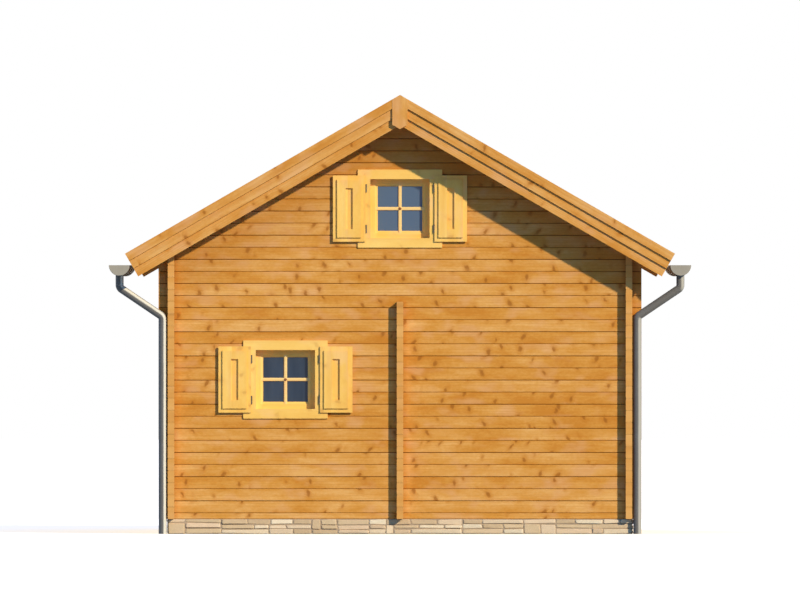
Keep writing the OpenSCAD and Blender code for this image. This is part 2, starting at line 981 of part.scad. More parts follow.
module right_downpipe() {
    color(zinc)
        downpipe();
}

module left_downpipe() {
    color(zinc)
        mirror([1, 0, 0])
            downpipe();
}

module front_casings() {
    color(pale_wood)
        at_front()
            window_casing();
}

module front_window_frames() {
    color(pale_wood)
        at_front()
            window_frame();
}

module front_sashes() {
    color(pale_wood)
        at_front()
            window_sash();
}

module front_panes() {
    color(glass_blue)
        at_front()
            window_pane();
}

module lower_left_shutter() {
    color(pale_wood)
        at_hinge(-win_x, win_low_z, true)
            shutter();
}

module lower_right_shutter() {
    color(pale_wood)
        at_hinge(-win_x, win_low_z, false)
            shutter();
}

module upper_left_shutter() {
    color(pale_wood)
        at_hinge(0, win_up_z, true)
            shutter();
}

module upper_right_shutter() {
    color(pale_wood)
        at_hinge(0, win_up_z, false)
            shutter();
}

module lower_left_hinges() {
    color(iron)
        at_hinge(-win_x, win_low_z, true)
            hinge_pair()
                hinge_eye();
}

module lower_right_hinges() {
    color(iron)
        at_hinge(-win_x, win_low_z, false)
            hinge_pair()
                hinge_eye();
}

module upper_left_hinges() {
    color(iron)
        at_hinge(0, win_up_z, true)
            hinge_pair()
                hinge_eye();
}

module upper_right_hinges() {
    color(iron)
        at_hinge(0, win_up_z, false)
            hinge_pair()
                hinge_eye();
}

module hinge_pins() {
    color(iron)
        for (left = [true, false]) {
            at_hinge(-win_x, win_low_z, left)
                hinge_pair()
                    hinge_pin();
            at_hinge(0, win_up_z, left)
                hinge_pair()
                    hinge_pin();
        }
}

module back_casings() {
    w = door_w / 2;
    top = floor_z + door_h;
    color(pale_wood) {
        at_back()
            window_casing();
        translate([door_x, half_d, 0])
            rotate([0, 0, 180]) {
                for (s = [-1, 1])
                    translate([s * (w + casing_side_w / 2), 0, 0])
                        span_box([-casing_side_w / 2, -casing_t, gable_base],
                            [casing_side_w / 2, -fit, top - fit]);
                span_box([-w - casing_side_w, -casing_t, top],
                    [w + casing_side_w, -fit, top + casing_head_h]);
            }
    }
}

module back_window_frames() {
    color(pale_wood)
        at_back()
            window_frame();
}

module back_sashes() {
    color(pale_wood)
        at_back()
            window_sash();
}

module back_panes() {
    color(glass_blue)
        at_back()
            window_pane();
}

module door_frame() {
    w = door_w / 2;
    top = floor_z + door_h;
    color(pale_wood)
        translate([door_x, half_d, 0])
            rotate([0, 0, 180])
                difference() {
                    span_box([-w - door_jamb_t, 0, gable_base + fit],
                        [w + door_jamb_t, log_t, top + door_jamb_t]);
                    span_box([-w, -over, floor_z], [w, log_t + over, top]);
                }
}

module door_leaf() {
    w = door_w / 2;
    color(pale_wood)
        translate([door_x, half_d, 0])
            rotate([0, 0, 180])
                span_box([-w + fit, door_set, floor_z + fit],
                    [w - fit, door_set + door_t, floor_z + door_h - fit]);
}

module door_handle() {
    x = door_w / 2 - handle_in;
    face = door_set - fit;
    back = face - lock_t;
    w = lock_w / 2;
    color(iron)
        translate([door_x, half_d, floor_z + handle_z])
            rotate([0, 0, 180]) {
                span_box([x - w, back, -lock_low], [x + w, face, lock_h - lock_low]);
                translate([x, back + over, 0])
                    rotate([90, 0, 0])
                        cylinder(r = neck_r, h = handle_out - handle_t / 2);
                span_box([x + handle_h / 2 - handle_l, back - handle_out, -handle_h / 2],
                    [x + handle_h / 2, back - handle_out + handle_t, handle_h / 2]);
            }
}

plinth();
floor_joists();
floor_boards();
front_wall_logs();
back_wall_logs();
left_wall_logs();
right_wall_logs();
partition_logs();
doorway_lining();
loft_bearers();
loft_joists();
loft_floor();
ridge_purlin();
side_purlins();
left_roof_boards();
right_roof_boards();
left_roof_covering();
right_roof_covering();
ridge_cap();
front_edge_boards();
front_edge_middles();
front_edge_strips();
front_apex_plate();
back_edge_boards();
back_edge_middles();
back_edge_strips();
back_apex_plate();
eaves_boards();
left_gutter();
right_gutter();
gutter_brackets();
left_downpipe();
right_downpipe();
front_casings();
front_window_frames();
front_sashes();
front_panes();
lower_left_shutter();
lower_right_shutter();
upper_left_shutter();
upper_right_shutter();
lower_left_hinges();
lower_right_hinges();
upper_left_hinges();
upper_right_hinges();
hinge_pins();
back_casings();
back_window_frames();
back_sashes();
back_panes();
door_frame();
door_leaf();
door_handle();
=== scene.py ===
import math

import bmesh
import bpy
import numpy as np
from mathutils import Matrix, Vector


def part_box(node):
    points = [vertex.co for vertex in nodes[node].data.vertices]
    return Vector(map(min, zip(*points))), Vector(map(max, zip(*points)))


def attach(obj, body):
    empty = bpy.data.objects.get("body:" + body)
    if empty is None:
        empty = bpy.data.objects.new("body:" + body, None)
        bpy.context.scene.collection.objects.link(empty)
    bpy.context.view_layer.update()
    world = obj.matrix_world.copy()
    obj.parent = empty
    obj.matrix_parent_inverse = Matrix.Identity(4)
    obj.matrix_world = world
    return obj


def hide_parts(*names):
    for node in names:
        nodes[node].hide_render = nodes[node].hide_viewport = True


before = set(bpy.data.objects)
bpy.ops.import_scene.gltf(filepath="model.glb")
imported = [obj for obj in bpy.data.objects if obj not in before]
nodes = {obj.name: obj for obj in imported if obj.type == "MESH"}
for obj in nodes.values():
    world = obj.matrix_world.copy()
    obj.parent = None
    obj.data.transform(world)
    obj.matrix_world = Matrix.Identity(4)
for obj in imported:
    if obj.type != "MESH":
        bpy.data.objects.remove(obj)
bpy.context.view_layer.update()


# sizes that several pieces share, in metres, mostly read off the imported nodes
house = {
    "pitch": math.radians(30),
    "ridgeTop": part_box("front_apex_plate")[1].z,
    "eaveX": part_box("front_edge_boards")[1].x,
    "roofY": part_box("right_roof_covering")[1].y,
    "wallX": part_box("plinth")[1].x,
    "wallY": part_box("plinth")[1].y,
    "plinthTop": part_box("plinth")[1].z,
    "logHigh": 0.130,
    "logThick": 0.070,
    "gableJoint": 0.225,  # height of the first joint in the gables, half a course above the plinth
    "logEndX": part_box("front_wall_logs")[1].x,
    "logEndY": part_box("right_wall_logs")[1].y,
    "partTop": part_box("partition_logs")[1].z,
    "coverDepth": 0.020,  # underside of the covering, square below the top edge
    "boardDepth": 0.048,  # underside of the roof boards
}
window = {
    "lowX": -1.233, "lowZ": 1.662, "upX": 0.0, "upZ": 3.502,
    "wide": 0.637, "high": 0.635, "sash": 0.078,
    "casing": 0.36,  # from the middle of a window to the middle of its casing boards
    "reach": 0.6,  # past this from its middle, a casing is that of the door
    "storey": 2.6,  # height that tells the lower windows from the upper ones
}
windowPlaces = ((window["lowX"], window["lowZ"]), (window["upX"], window["upZ"]))
sinPitch, cosPitch, tanPitch = (f(house["pitch"]) for f in (math.sin, math.cos, math.tan))
eaveLen = house["eaveX"] / cosPitch


# x and z of the point s down the right slope and t square below its top edge
def onSlope(s, t):
    return s * cosPitch - t * sinPitch, house["ridgeTop"] - s * sinPitch - t * cosPitch


# quads between rings of points that follow each other along a path, with both ends closed;
# the array holds shells, rings in a shell, points in a ring, coordinates
def carry(rings):
    shells, count, size = rings.shape[:3]
    i, j = np.meshgrid(np.arange(count - 1) * size, np.arange(size), indexing="ij")
    k = (j + 1) % size
    wall = np.stack((i + j, i + k, i + k + size, i + j + size), axis=-1).reshape(-1, 4)
    ends = np.stack((np.arange(size)[::-1], np.arange(size) + (count - 1) * size))
    start = np.arange(shells)[:, None, None] * count * size
    faces = (wall + start).reshape(-1, 4).tolist() + (ends + start).reshape(-1, size).tolist()
    return rings.reshape(-1, 3), faces


# puts points and faces into a mesh at the origin, turns its faces outwards and lets it ride on the cabin
def addPiece(name, rings, finish, replaced=(), tone=None):
    points, faces = carry(rings)
    mesh = bpy.data.meshes.new(name)
    mesh.from_pydata(points.tolist(), [], faces)
    shape = bmesh.new()
    shape.from_mesh(mesh)
    bmesh.ops.recalc_face_normals(shape, faces=shape.faces)
    shape.to_mesh(mesh)
    shape.free()
    if tone is not None:
        values = np.repeat(tone, rings.shape[1] * rings.shape[2]).astype(np.float32)
        mesh.attributes.new("tone", "FLOAT", "POINT").data.foreach_set("value", values)
    mesh.materials.append(finish)
    piece = bpy.data.objects.new(name, mesh)
    bpy.context.scene.collection.objects.link(piece)
    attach(piece, "cabin")
    if replaced:
        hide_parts(*replaced)
    print("piece:", name, len(faces), "faces")


# a socket that can stand in a formula, with plain numbers on either side of it
class Wire:
    def __init__(self, tree, socket=None):
        self.tree, self.socket = tree, socket

    # any node: its type, its settings, the values or links of its sockets, and the output that is wanted
    def node(self, kind, settings=None, sockets=None, out=0):
        made = self.tree.nodes.new("ShaderNode" + kind)
        for key, value in (settings or {}).items():
            if key == "stops":
                ramp = made.color_ramp.elements
                for stop, (place, colour) in zip((ramp[0], ramp[1]), (value[0], value[-1])):
                    stop.position, stop.color = place, (*colour, 1)
                for place, colour in value[1:-1]:
                    ramp.new(place).color = (*colour, 1)
            else:
                setattr(made, key, value)
        for key, value in (sockets or {}).items():
            if isinstance(value, Wire):
                self.tree.links.new(value.socket, made.inputs[key])
            else:
                made.inputs[key].default_value = value
        return Wire(self.tree, made.outputs[out])

    def maths(self, operation, *terms):
        return self.node("Math", {"operation": operation}, dict(enumerate(terms)))

    def __add__(self, other):
        return self.maths("ADD", self, other)

    def __radd__(self, other):
        return self.maths("ADD", other, self)

    def __sub__(self, other):
        return self.maths("SUBTRACT", self, other)

    def __rsub__(self, other):
        return self.maths("SUBTRACT", other, self)

    def __mul__(self, other):
        return self.maths("MULTIPLY", self, other)

    def __rmul__(self, other):
        return self.maths("MULTIPLY", other, self)

    def __truediv__(self, other):
        return self.maths("DIVIDE", self, other)

    def __pow__(self, other):
        return self.maths("POWER", self, other)

    def __gt__(self, other):
        return self.maths("GREATER_THAN", self, other)

    def __lt__(self, other):
        return self.maths("LESS_THAN", self, other)

    def __abs__(self):
        return self.maths("ABSOLUTE", self)

    def floor(self):
        return self.maths("FLOOR", self)

    def nearest(self):
        return self.maths("ROUND", self)

    def sign(self):
        return self.maths("SIGN", self)

    # a sine wave from 0 to 1 that repeats after this length
    def wave(self, length):
        return self.maths("SINE", self * (2 * math.pi / length)) * 0.5 + 0.5

    # 0 at the first value and 1 at the second, with a soft start and end
    def rise(self, first, second):
        return self.node("MapRange", {"interpolation_type": "SMOOTHSTEP"},
                         {"Value": self, "From Min": first, "From Max": second})

    def parts(self):
        return [self.node("SeparateXYZ", sockets={0: self}, out=k) for k in range(3)]

    def vector(self, a, b, c):
        return self.node("CombineXYZ", sockets={0: a, 1: b, 2: c})

    def noise(self, a, b, c, detail, rough):
        return self.node("TexNoise", {}, {"Vector": self.vector(a, b, c), "Scale": 1.0,
                                          "Detail": detail, "Roughness": rough})

    # noise at this place, with a scale for each of x, y and z
    def cloud(self, scales, detail, rough):
        x, y, z = self.parts()
        return self.noise(x * scales[0], y * scales[1], z * scales[2], detail, rough)

    # three random numbers for each value of this one
    def dice(self):
        return self.node("TexWhiteNoise", {"noise_dimensions": "1D"}, {"W": self}, out="Color").parts()

    def ramp(self, *stops):
        return self.node("ValToRGB", {"stops": stops}, {0: self})

    # the first colour where this is 0 and the second where it is 1
    def shade(self, first, second):
        return self.node("Mix", {"data_type": "RGBA"}, {0: self, 6: (*first, 1), 7: (*second, 1)}, out=2)

    # this colour with a share of another
    def tinted(self, other, share):
        return self.node("Mix", {"data_type": "RGBA"}, {0: share, 6: self, 7: (*other, 1)}, out=2)


# a new finish with its fixed values, and the object coordinates to paint it by
def newFinish(name, fixed):
    finish = bpy.data.materials.new(name)
    finish.use_nodes = True
    shader = finish.node_tree.nodes["Principled BSDF"]
    for key, value in fixed.items():
        shader.inputs[key].default_value = value
    place = Wire(finish.node_tree).node("TexCoord", out="Object")
    return finish, place


# links what was painted to the finish: colour, roughness, and a height in metres as bump
def setFinish(finish, colour, rough=None, height=None, strength=0.5):
    shader = finish.node_tree.nodes["Principled BSDF"]
    link = finish.node_tree.links.new
    link(colour.socket, shader.inputs["Base Color"])
    if rough is not None:
        link(rough.socket, shader.inputs["Roughness"])
    if height is not None:
        bump = height.node("Bump", {}, {"Strength": strength, "Distance": 1.0, "Height": height})
        link(bump.socket, shader.inputs["Normal"])
    return finish


# sizes and heights in metres; an edge gives the values where a mask is 0 and where it is 1, and a
# share says how strong its colour gets there
wood = {
    "sheen": 0.18,
    "cutApart": 40.0,  # boards are cut from places up to this far apart in the noise
    "boardTone": 0.45,  # how far boards differ in tone
    "fleck": 0.35,  # share of fine flecks beside the slow changes of tone
    "rosyEdge": (0.50, 0.72), "rosyShare": 0.6,
    "ringStep": 0.0055, "ringThin": 1.6, "ringHigh": 0.0004,  # year rings
    "pithDeep": 0.03, "pithAside": 0.08, "pithWander": 0.07,  # where the pith lies behind a board
    "streakLong": 3.5, "streakFine": 230.0, "streakNoise": (3.0, 0.6),  # scales, detail and roughness
    "streakEdge": (0.45, 0.75), "streakShare": 0.8, "streakRough": 0.18, "streakHigh": 0.0009,
    "knotAlong": 0.19, "knotAcross": 0.30,  # size of the cells that hold a knot each
    "cellStep": (5.3, 3.7),  # cells that lie between one board and the next
    "knotSize": 0.077, "knotLeast": 0.45, "knotLean": 1.2, "knotBend": 0.05, "knotPush": 0.010,
    "knotEdge": (1.5, 0.4), "knotLuck": (0.15, 0.55), "knotShare": 0.8, "knotDeep": 0.0006,
    "haloEdge": (3.6, 0.6), "haloLuck": (0.0, 0.4), "haloShare": 0.55,
    "sawnSkin": 0.0005, "sawnAside": 0.05, "sawnStep": 0.00546364,  # sawn ends and the rings on them
    "sawnPale": 0.45, "sawnDark": 0.22,
    "jointWide": 0.0062, "jointCore": 0.001,  # the dark line beside a joint and the part that is full
    "jointFaint": 0.72, "jointFull": 1.45, "jointEnds": 0.75,  # every second joint is fainter
    "jointLeast": 0.4, "jointSlow": 0.7,
    "cornerShadeWide": 0.06, "cornerShadeDark": 0.36,  # painted shade in the corners where walls cross
    "eavesShadeFar": 1.0, "eavesShadeNear": 0.3, "eavesShadeDark": 0.37,  # and painted shade on the gables below the roof
}
# noise in the wood: its scales along and across the grain, its step from board to board, where it
# starts, its detail and its roughness
woodNoise = {
    "slow": (2.1, 7.0, 3.1, 0.0, 2.0, 0.5),  # slow changes of tone
    "rosy": (2.9, 5.0, 2.3, 17.0, 2.0, 0.5),  # pinker patches
    "fleck": (26.0, 45.0, 4.7, 0.0, 2.0, 0.6),
    "bend": (16.0, 16.0, 1.3, 0.0, 2.0, 0.5),  # uneven outlines of the knots
    "wander": (0.8, 3.0, 1.9, 0.0, 2.0, 0.5),  # a pith that isn't straight
}
wallTones = ((0.0, (0.58, 0.215, 0.018)), (0.35, (0.66, 0.285, 0.038)),
             (0.65, (0.72, 0.340, 0.066)), (1.0, (0.80, 0.425, 0.112)))
edgeTones = ((0.0, (0.62, 0.245, 0.030)), (0.35, (0.68, 0.300, 0.050)),
             (0.65, (0.73, 0.350, 0.076)), (1.0, (0.77, 0.410, 0.112)))
paleTones = ((0.0, (0.86, 0.46, 0.078)), (0.4, (0.92, 0.53, 0.099)),
             (0.7, (0.945, 0.57, 0.122)), (1.0, (0.965, 0.63, 0.158)))
creamTones = ((0.0, (0.86, 0.54, 0.155)), (0.5, (0.90, 0.60, 0.20)), (1.0, (0.94, 0.66, 0.25)))
plainTones = ((0.0, (0.60, 0.30, 0.10)), (0.5, (0.68, 0.37, 0.14)), (1.0, (0.74, 0.43, 0.18)))
# the joint colour also paints the shade in corners, under laps and below the eaves
browns = {"ring": (0.50, 0.180, 0.016), "halo": (0.52, 0.172, 0.008), "rosy": (0.75, 0.385, 0.140),
          "knot": (0.29, 0.088, 0.003), "joint": (0.22, 0.072, 0.003)}
paleBrowns = {"ring": (0.72, 0.34, 0.065), "halo": (0.70, 0.31, 0.05), "rosy": (0.93, 0.55, 0.19),
              "knot": (0.42, 0.15, 0.028), "joint": (0.35, 0.15, 0.03)}


# wood by a rule that turns x, y, z into the way along the grain, the way across from the middle of its
# board, the depth, a number for the board, a mask for joint lines and painted shade, and one for sawn
# ends.
# Year rings are the sine of the distance to a wandering pith, streaks are noise drawn out along
# the grain, and each cell of a leaning Voronoi pattern may hold a knot that bends the rings round it
def woodFinish(name, rule, tones, dark, knots=0.85, grain=0.30, spread=2.0, rough=0.5):
    finish, place = newFinish(name, {"Specular IOR Level": wood["sheen"]})
    along, across, depth, board, joint, ends = rule(*place.parts())
    pick, shift, pith = board.dice()
    far = along + shift * wood["cutApart"]

    # noise drawn out along the grain, at a place of its own for each board
    def patches(key):
        scaleAlong, scaleAcross, step, start, detail, coarse = woodNoise[key]
        return far.noise(far * scaleAlong, across * scaleAcross, board * step + start, detail, coarse)

    slow = patches("slow")
    bend = (patches("bend") - 0.5) * wood["knotBend"]
    lean = across * ((pith - 0.5) * wood["knotLean"]) + bend
    u = (far + lean) / wood["knotAlong"] + board * wood["cellStep"][0]
    v = (across + bend) / wood["knotAcross"] + board * wood["cellStep"][1]
    cell = {"Vector": far.vector(u, v, 0.0), "Scale": 1.0}
    flat = {"voronoi_dimensions": "2D", "feature": "F1"}
    luck = far.node("TexVoronoi", flat, cell, out="Color").parts()[0]
    size = wood["knotSize"] * (wood["knotLeast"] + luck)
    near = far.node("TexVoronoi", flat, cell, out="Distance") / size
    knot = near.rise(*wood["knotEdge"]) * luck.rise(*wood["knotLuck"])
    halo = near.rise(*wood["haloEdge"]) * luck.rise(*wood["haloLuck"])

    wander = (patches("wander") - 0.5) * wood["pithWander"]
    side = across + wander + (pith - 0.5) * wood["pithAside"] + halo * wood["knotPush"]
    deep = depth + wood["pithDeep"]
    ring = ((side * side + deep * deep) ** 0.5).wave(wood["ringStep"]) ** wood["ringThin"]
    fine = wood["streakFine"]
    streak = far.noise(far * wood["streakLong"], across * fine, depth * fine, *wood["streakNoise"])

    mottle = (slow - 0.5) + (patches("fleck") - 0.5) * wood["fleck"]
    tone = 0.5 + (pick - 0.5) * wood["boardTone"] + mottle * spread
    fibre = ring * grain + streak.rise(*wood["streakEdge"]) * grain * wood["streakShare"]
    colour = tone.ramp(*tones)
    colour = colour.tinted(dark["rosy"], patches("rosy").rise(*wood["rosyEdge"]) * wood["rosyShare"])
    colour = colour.tinted(dark["ring"], fibre)
    colour = colour.tinted(dark["halo"], halo * wood["haloShare"] * knots)
    colour = colour.tinted(dark["knot"], knot * wood["knotShare"] * knots)
    if ends is not None:
        aside = across + wood["sawnAside"]
        sawn = ((aside * aside + depth * depth) ** 0.5).wave(wood["sawnStep"])
        colour = colour.tinted(tones[-1][1], ends * wood["sawnPale"])
        colour = colour.tinted(dark["ring"], ends * sawn * wood["sawnDark"])
    # dark joint lines, together with the painted shade carried in the same mask
    if joint is not None:
        colour = colour.tinted(dark["joint"], joint * (wood["jointLeast"] + slow * wood["jointSlow"]))
    height = streak * wood["streakHigh"] + ring * wood["ringHigh"] - knot * wood["knotDeep"]
    return setFinish(finish, colour, rough + streak * wood["streakRough"], height)


# dark line along the edges of a board of this width, fainter on its sawn ends
def edgeLine(across, width, ends=0.0):
    line = (width / 2 - abs(across)).rise(wood["jointWide"], wood["jointCore"])
    return line * (1.0 - wood["jointEnds"] * ends)


# strength of the joint nearest to a place: the joints are counted from the first, half of an odd
# number has a fraction, and only the odd joints get the full strength
def oddJoint(place, first, width):
    half = ((place - first) / width).nearest() * 0.5
    odd = (half - half.floor()) * 2.0
    return wood["jointFaint"] + odd * (wood["jointFull"] - wood["jointFaint"])


# painted shade on a wall beside another wall of logs that crosses it at this distance from the middle
def cornerShade(way, reach):
    gap = abs(abs(way) - (reach - house["logThick"] / 2)) - house["logThick"] / 2
    return gap.rise(wood["cornerShadeWide"], 0.0) * wood["cornerShadeDark"]


# number of the board of this width that a place falls in, and the way from that board's middle
def boardOf(place, first, width):
    board = ((place - first) / width).floor()
    return board, place - (board + 0.5) * width - first


# the way down the slope, and the way square below the top edge of the roof
def slopeWays(x, z):
    return abs(x) * cosPitch - z * sinPitch, (house["ridgeTop"] - z) * cosPitch - abs(x) * sinPitch


# steps in the numbers of boards, so that walls, sides and storeys don't repeat each other's grain
boardStep = {
    "gable": 31.0, "wall": 37.0, "wallFirst": 90.0, "edgeSide": 217.0, "edgeEnd": 57.0,
    "plate": 9.0, "plateFirst": 4.0, "eaves": 5.0, "eavesFirst": 11.0, "purlin": 7.0, "purlinFirst": 3.0,
    "roofSide": 70.0, "floorLevel": 40.0, "head": 3.0, "storey": 7.0, "jamb": 1.3, "windowEnd": 17.0,
    "doorCasing": 29.0, "shutterStorey": 23.0, "doorFirst": 51.0,
}
# share of the depth that counts in the rings of thin boards, so that their steps don't jump in tone
depthShare = {"edge": 0.2, "eaves": 0.3, "roof": 0.1, "floor": 0.3, "window": 0.5, "panel": 0.7}


# gable logs: the grain runs along x, and a board is a course of one gable; painted shade lies
# beside the walls that cross the gable, the inner one up to its top, and grows towards the roof's slopes
def gableGrain(x, y, z):
    board, across = boardOf(z, house["gableJoint"], house["logHigh"])
    depth = abs(y) - (house["wallY"] - house["logThick"] / 2)
    ends = abs(x) > house["logEndX"] - wood["sawnSkin"]
    paintedShade = cornerShade(x, house["wallX"])
    paintedShade = paintedShade + cornerShade(x, house["logThick"] / 2) * (z < house["partTop"])
    # painted shade on the gable, darker towards the slopes of the roof
    below = slopeWays(x, z)[1]
    paintedShade = paintedShade + below.rise(wood["eavesShadeFar"], wood["eavesShadeNear"]) * wood["eavesShadeDark"]
    line = edgeLine(across, house["logHigh"], ends) * oddJoint(z, house["gableJoint"], house["logHigh"])
    return x, across, depth, board + y.sign() * boardStep["gable"], line + paintedShade * (1.0 - ends), ends


# side and inner wall logs: the grain runs along y, and a board is a course of one wall, which is
# numbered -1, 0 or 1 from left to right
def sideGrain(x, y, z):
    board, across = boardOf(z, house["plinthTop"], house["logHigh"])
    wall = (x / house["wallX"]).nearest()
    depth = abs(x) - abs(wall) * (house["wallX"] - house["logThick"] / 2)
    ends = abs(y) > house["logEndY"] - wood["sawnSkin"]
    line = edgeLine(across, house["logHigh"], ends) * oddJoint(z, house["plinthTop"], house["logHigh"])
    number = board + wall * boardStep["wall"] + boardStep["wallFirst"]
    # painted shade beside the gable walls that cross this wall
    return y, across, depth, number, line + cornerShade(y, house["wallY"]), ends


edge = {"strip": 0.088, "middle": 0.184, "thick": 0.020, "grainMid": 0.1, "lapShadeWide": 0.009}


# edge boards: along the slope, a board for each side and each layer, with a painted shadow line under
# each lap
def slopeGrain(x, y, z):
    along, below = slopeWays(x, z)
    layer = (abs(y) / edge["thick"]).floor()
    board = layer + x.sign() * boardStep["edgeSide"] + y.sign() * boardStep["edgeEnd"]
    # painted shadow below the step of each lap
    lapShades = [(below > edge[k]) * (below - edge[k]).rise(edge["lapShadeWide"], wood["jointCore"])
            for k in ("strip", "middle")]
    return along, edge["grainMid"] - below, y * depthShare["edge"], board, lapShades[0] + lapShades[1], None


# apex plates stand upright, a board at each end of the cabin
def plateGrain(x, y, z):
    board = y.sign() * boardStep["plate"] + boardStep["plateFirst"]
    return z, x, y * depthShare["edge"], board, None, None


eaves = {"middle": 2.95}  # height of the boards behind the gutters


# eaves boards: along the cabin, a board on each side
def eavesGrain(x, y, z):
    board = x.sign() * boardStep["eaves"] + boardStep["eavesFirst"]
    return y, z - eaves["middle"], abs(x) * depthShare["eaves"], board, None, None


purlins = {"apart": 1.25, "middle": 4.0, "flat": 0.5}


# purlins: along the cabin, numbered from left to right, with sawn ends
def purlinGrain(x, y, z):
    number = (x / purlins["apart"]).nearest()
    board = number * boardStep["purlin"] + boardStep["purlinFirst"]
    ends = abs(y) > house["roofY"] - wood["sawnSkin"]
    return y, (z - purlins["middle"]) * purlins["flat"], x - number * purlins["apart"], board, None, ends


roofBoards = {"count": 68, "groove": 0.004, "grooveDeep": 0.004, "eavesCut": 0.020}
roofBoards["width"] = 2 * house["roofY"] / roofBoards["count"]


# sawn boards of the roof run down the slope, side by side along the cabin
def roofGrain(x, y, z):
    board, across = boardOf(y, -house["roofY"], roofBoards["width"])
    along = slopeWays(x, z)[0]
    return along, across, z * depthShare["roof"], board + x.sign() * boardStep["roofSide"], None, None


floorBoards = {"width": 0.12}


# floor boards and joists: along the cabin in strips of one width, numbered apart on each floor
def floorGrain(x, y, z):
    board, across = boardOf(x, 0.0, floorBoards["width"])
    number = board + z.floor() * boardStep["floorLevel"]
    return y, across, z * depthShare["floor"], number, edgeLine(across, floorBoards["width"]), None


# window pieces and casings: the grain runs across the opening where the mask is 1, and upright beside it
def windowGrain(level):
    def rule(x, y, z):
        upper = z > window["storey"]
        dx = x - (window["lowX"] + upper * (window["upX"] - window["lowX"]))
        dz = z - (window["lowZ"] + upper * (window["upZ"] - window["lowZ"]))
        mask = level(dx, dz)
        along = dz + mask * (dx - dz)
        aside = dx + mask * (dz - dx)
        board = mask * boardStep["head"] + upper * boardStep["storey"] + aside.sign() * boardStep["jamb"]
        board = board + y.sign() * boardStep["windowEnd"]
        board = board + (abs(dx) > window["reach"]) * boardStep["doorCasing"]
        return along, abs(aside) - window["casing"], y * depthShare["window"], board, None, None
    return rule


# 1 above and below the opening, where the casing's head and sill lie
def headLevel(dx, dz):
    return abs(dz) > window["high"] / 2


# 1 between the stiles of a sash, where its rails lie
def railLevel(dx, dz):
    return abs(dx) < window["wide"] / 2 - window["sash"]


shutters = {"firstX": -0.03, "width": 0.178}  # their boards, counted across the gable


# shutters: upright boards, numbered apart in each storey
def shutterGrain(x, y, z):
    board, across = boardOf(x, shutters["firstX"], shutters["width"])
    number = board + (z > window["storey"]) * boardStep["shutterStorey"]
    return z, across, y * depthShare["panel"], number, None, None


doorBoards = {"count": 8, "groove": 0.005, "grooveDeep": 0.005}
doorLow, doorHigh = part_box("door_leaf")
doorBoards["width"] = (doorHigh.x - doorLow.x) / doorBoards["count"]


# door: upright boards, side by side
def doorGrain(x, y, z):
    board, across = boardOf(x, doorLow.x, doorBoards["width"])
    return z, across, y * depthShare["panel"], board + boardStep["doorFirst"], None, None


gableWood = woodFinish("gableLogWood", gableGrain, wallTones, browns)
sideWood = woodFinish("sideLogWood", sideGrain, wallTones, browns)
edgeWood = woodFinish("edgeBoardWood", slopeGrain, edgeTones, browns, grain=0.26)
plateWood = woodFinish("apexPlateWood", plateGrain, edgeTones, browns, grain=0.22)
eavesWood = woodFinish("eavesBoardWood", eavesGrain, edgeTones, browns, grain=0.26)
purlinWood = woodFinish("purlinWood", purlinGrain, plainTones, browns, grain=0.22)
roofWood = woodFinish("roofBoardWood", roofGrain, plainTones, browns, grain=0.22)
floorWood = woodFinish("floorBoardWood", floorGrain, plainTones, browns, grain=0.25)
casingWood = woodFinish("casingWood", windowGrain(headLevel), paleTones, paleBrowns,
                        knots=0.25, grain=0.18, spread=1.2, rough=0.45)
sashWood = woodFinish("sashWood", windowGrain(railLevel), paleTones, paleBrowns,
                      knots=0.10, grain=0.16, spread=1.0, rough=0.42)
barWood = woodFinish("barWood", windowGrain(railLevel), creamTones, paleBrowns,
                     knots=0.0, grain=0.14, spread=0.8, rough=0.42)
shutterWood = woodFinish("shutterWood", shutterGrain, paleTones, paleBrowns,
                         knots=0.35, grain=0.24, spread=1.4, rough=0.45)
doorWood = woodFinish("doorWood", doorGrain, paleTones, paleBrowns,
                      knots=0.40, grain=0.22, spread=1.4, rough=0.45)
print("finishes: wood done")


# from here on a finish has, for each noise, its scales in x, y and z, its detail and its roughness
splitStone = {
    "sheen": 0.2, "cloud": ((14.0, 14.0, 22.0), 4.0, 0.6), "pits": ((150.0, 150.0, 220.0), 3.0, 0.65),
    "toneShare": 0.8, "cloudShare": 0.35, "darker": 0.08,
    "tones": ((0.0, (0.58, 0.39, 0.195)), (0.3, (0.70, 0.51, 0.26)), (0.5, (0.79, 0.56, 0.315)),
              (0.75, (0.86, 0.67, 0.39)), (1.0, (0.93, 0.80, 0.51))),
    "pit": (0.40, 0.27, 0.16), "pitEdge": (0.60, 0.35), "pitShare": 0.32,
    "rough": 0.75, "roughPits": 0.2, "cloudHigh": 0.004, "pitHigh": 0.0015, "bump": 0.7,
}


# split stone: each stone takes its tone from its own attribute, with mottling and fine pits
def stoneFinish(look):
    finish, place = newFinish("splitStone", {"Specular IOR Level": look["sheen"]})
    tone = place.node("Attribute", {"attribute_name": "tone"}, {}, "Fac")
    cloud = place.cloud(*look["cloud"])
    pits = place.cloud(*look["pits"])
    mix = tone * look["toneShare"] + cloud * look["cloudShare"] - look["darker"]
    colour = mix.ramp(*look["tones"]).tinted(look["pit"], pits.rise(*look["pitEdge"]) * look["pitShare"])
    height = cloud * look["cloudHigh"] + pits * look["pitHigh"]
    return setFinish(finish, colour, look["rough"] + pits * look["roughPits"], height, look["bump"])


mortarSand = {
    "sheen": 0.1, "sand": ((320.0, 320.0, 320.0), 2.0, 0.7), "cloud": ((5.0, 5.0, 5.0), 3.0, 0.5),
    "sandShare": 0.6, "cloudShare": 0.4,
    "tones": ((0.25, (0.34, 0.23, 0.125)), (0.75, (0.54, 0.40, 0.24))),
    "rough": 0.85, "roughSand": 0.1, "sandHigh": 0.001,
}


